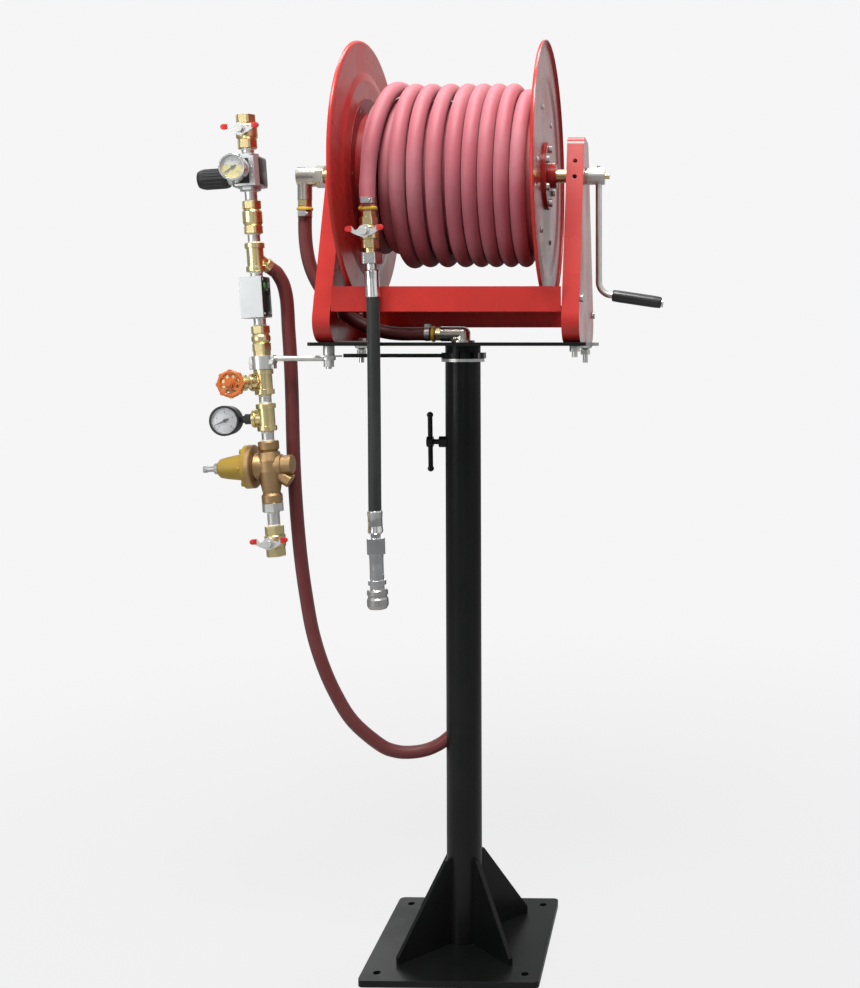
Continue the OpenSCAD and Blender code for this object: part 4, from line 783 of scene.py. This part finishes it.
# %% Dials
oil_dial = Finish("oil_dial", (0.62, 0.55, 0.24), 0.5)
oil_level = oil_dial.axis("Z").fade(1.4415, 1.4425)
oil_dial.set("Base Color", oil_dial.mix(oil_level, (0.66, 0.57, 0.20), (0.60, 0.62, 0.60)))
oil_dial.relief(oil_dial.noise(600.0), 0.00002)
white_dial = Finish("white_dial", (0.86, 0.87, 0.88), 0.45)
dial_fade = white_dial.noise(30.0).fade(0.3, 0.8)
white_dial.set("Base Color", white_dial.mix(dial_fade, (0.86, 0.87, 0.88), (0.80, 0.82, 0.84)))
dial_ink = moulded("dial_ink", (0.02, 0.02, 0.025), 0.6)
window = Finish("clear_window", (1, 1, 1), 0.03, IOR=1.45)
window.set("Alpha", window.noise(14.0).fade(0.3, 0.9) * 0.05 + 0.07)


def lettering(bm, text, place, size):
    """Adds flat letters, centred at a place whose XY plane they lie in; size in millimetres."""
    curve = bpy.data.curves.new("letters", "FONT")
    curve.body = text
    curve.size = size * MM
    curve.align_x = "CENTER"
    curve.align_y = "CENTER"
    curve.resolution_u = 2
    holder = bpy.data.objects.new("letters", curve)
    bpy.context.scene.collection.objects.link(holder)
    bpy.context.view_layer.update()
    flat = bpy.data.meshes.new_from_object(holder.evaluated_get(bpy.context.evaluated_depsgraph_get()))
    flat.transform(place)
    bm.from_mesh(flat)
    bpy.data.objects.remove(holder)
    bpy.data.curves.remove(curve)
    bpy.data.meshes.remove(flat)


DIAL_FROM = -135
DIAL_SPAN = 270
TICKS = 40
TICK_MARGIN = 1.4
NUMBER_MARGIN = 8.0
PLATE_LOW, PLATE_TOP = 0.05, 0.25
INK_LOW, INK_TOP = 0.24, 0.34
WINDOW_LOW, WINDOW_TOP = 4.0, 4.7


def disc(name, face, radius, low, high, finish):
    turned(name, face, [(0, low), (radius, low), (radius, high), (0, high)], finish, "head")


def dial(name, face, radius, finish, numbers):
    """A dial plate, its printing, and the clear window over it. Z of the frame faces out."""
    disc(name + "_plate", face, radius, PLATE_LOW, PLATE_TOP, finish)
    ink = bmesh.new()
    for k in range(TICKS + 1):
        long = k % 10 == 0
        place = face @ Matrix.Rotation(math.radians(-(DIAL_FROM + DIAL_SPAN * k / TICKS)), 4, "Z")
        wide = 0.5 if long else 0.25
        length = 3.2 if long else (2.2 if k % 5 == 0 else 1.4)
        outer = radius - TICK_MARGIN
        inner = outer - length
        tick = [(-wide, inner), (wide, inner), (wide, outer), (-wide, outer)]
        add_prism(ink, place, tick, INK_LOW, INK_TOP)
    for k, number in enumerate(numbers):
        turn = math.radians(DIAL_FROM + DIAL_SPAN * k / (len(numbers) - 1))
        spot = (radius - NUMBER_MARGIN) * Vector((math.sin(turn), math.cos(turn), 0))
        place = face @ Matrix.Translation((spot + Vector((0, 0, INK_TOP))) * MM)
        lettering(ink, number, place, radius * 0.23)
    piece(name + "_print", ink, dial_ink, "head", flat=True)
    disc(name + "_window", face, radius, WINDOW_LOW, WINDOW_TOP, window)


OIL_FACE = at(PIPE, -10, -52, 341, TO_FRONT)
WHITE_FACE = at(PIPE, -72, -8, -99, TO_FRONT)
dial("oil_gauge", OIL_FACE, 19.7, oil_dial, ["0", "4", "8", "12", "16"])
dial("white_gauge", WHITE_FACE, 23.2, white_dial, ["0", "2", "4", "6", "8"])
print("oil gauge at height:", round(OIL_FACE.translation.z, 3))

# %% [markdown]
# The regulator's silver case carries dark cover plates on its front and right. The lockout valve beside the
# hose tee is closed by a dark side plate with a green mark.

# %% Panels
def rim_bevel(bm, depth, segments=2):
    """Rounds the edges of the prism's large faces."""
    rims = {edge for face in bm.faces if len(face.verts) > 4 for edge in face.edges}
    bmesh.ops.bevel(bm, geom=list(rims), offset=depth * MM, segments=segments, affect="EDGES", profile=0.5)


def plate(name, place, outline, low, high, finish, body, bevel=0.3):
    bm = add_prism(bmesh.new(), place, outline, low, high)
    rim_bevel(bm, bevel)
    return piece(name, bm, finish, body)


REG_Z = 338.0
REG_FRONT = -26
REG_SIDE = 24
BOX_Z = 116.0
BOX_SIDE = 15
PLATE_T = 0.8
dark_panel = moulded("dark_panel", (0.014, 0.020, 0.018), 0.35)
plate("regulator_front_plate", at(PIPE, 0, REG_FRONT, REG_Z, TO_FRONT), rounded(26, 44, 1.5, -4.5, 0), 0,
      PLATE_T, dark_panel, "head")
plate("regulator_side_plate", at(PIPE, REG_SIDE, 0, REG_Z, ALONG_X), rounded(46, 37, 1.5), 0, PLATE_T,
      dark_panel, "head")
plate("lockout_side_plate", at(PIPE, BOX_SIDE, 0, BOX_Z, ALONG_X), rounded(68, 41, 2), 0, PLATE_T, dark_panel,
      "head")
green = moulded("green_mark", (0.05, 0.50, 0.06), 0.35)
oval = [(6.0 * math.cos(t), 4.2 * math.sin(t)) for t in (2 * math.pi * k / 32 for k in range(32))]
on_plate = BOX_SIDE + PLATE_T
plate("lockout_green_mark", at(PIPE, on_plate, -9, BOX_Z + 20, ALONG_X), oval, 0, 0.5, green, "head", 0.15)
SMALL_SCREW = [(0, 0), (1.7, 0), (1.7, 0.5), (1.1, 0.9), (0.7, 0.9), (0.6, 0.3), (0, 0.3)]
LARGE_SCREW = [(0, 0), (1.9, 0), (1.9, 0.6), (1.2, 1.2), (0.8, 1.2), (0.7, 0.5), (0, 0.5)]
screws = bmesh.new()
for z in (6, -8):
    add_turned(screws, at(PIPE, 13.5, REG_FRONT, REG_Z + z, TO_FRONT), SMALL_SCREW, 20)
for y in (-17, 17):
    for z in (-30, 30):
        add_turned(screws, at(PIPE, on_plate, y, BOX_Z + z, ALONG_X), LARGE_SCREW, 20)
piece("panel_screws", screws, zinc, "head")
print("panels at height:", [round(at(PIPE, z=z).translation.z, 3) for z in (REG_Z, BOX_Z)])

# %% [markdown]
# Red vinyl caps cover the raised tips of each winged valve handle. On the real handles they are dipped on,
# so they follow the wings' outline, a little larger. Here each is that outline as a prism, with its edges
# rounded.

# %% Handle caps
TIP_X = 29.0
TIP_RISE = 5.0
CAP_R = 4.7
CAP_L = 8.0
CAP_LOW, CAP_TOP = 30.4, 34.7


def cap_outline(side):
    arc = [math.radians(-90 + 15 * k) for k in range(13)]
    points = [(TIP_X + CAP_R * math.cos(t), TIP_RISE + CAP_R * math.sin(t)) for t in arc]
    inner = TIP_X - CAP_L
    points += [(inner, TIP_RISE + CAP_R), (inner, TIP_RISE - CAP_R)]
    return [(side * x, y) for x, y in points]


def handle_caps(name, frame_of, height, body):
    caps = bmesh.new()
    place = at(frame_of, 0, 0, height, TO_FRONT)
    for side in (-1, 1):
        add_prism(caps, place, cap_outline(side), CAP_LOW, CAP_TOP)
    rim_bevel(caps, 0.9, 3)
    piece(name, caps, red_vinyl, body)


handle_caps("inlet_handle_caps", PIPE, 410.5, "inlet_handle")
handle_caps("drain_handle_caps", PIPE, -319, "drain_handle")
handle_caps("hose_handle_caps", CHAIN, 114, "hose_handle")
print("cap length:", CAP_L + CAP_R, "mm")
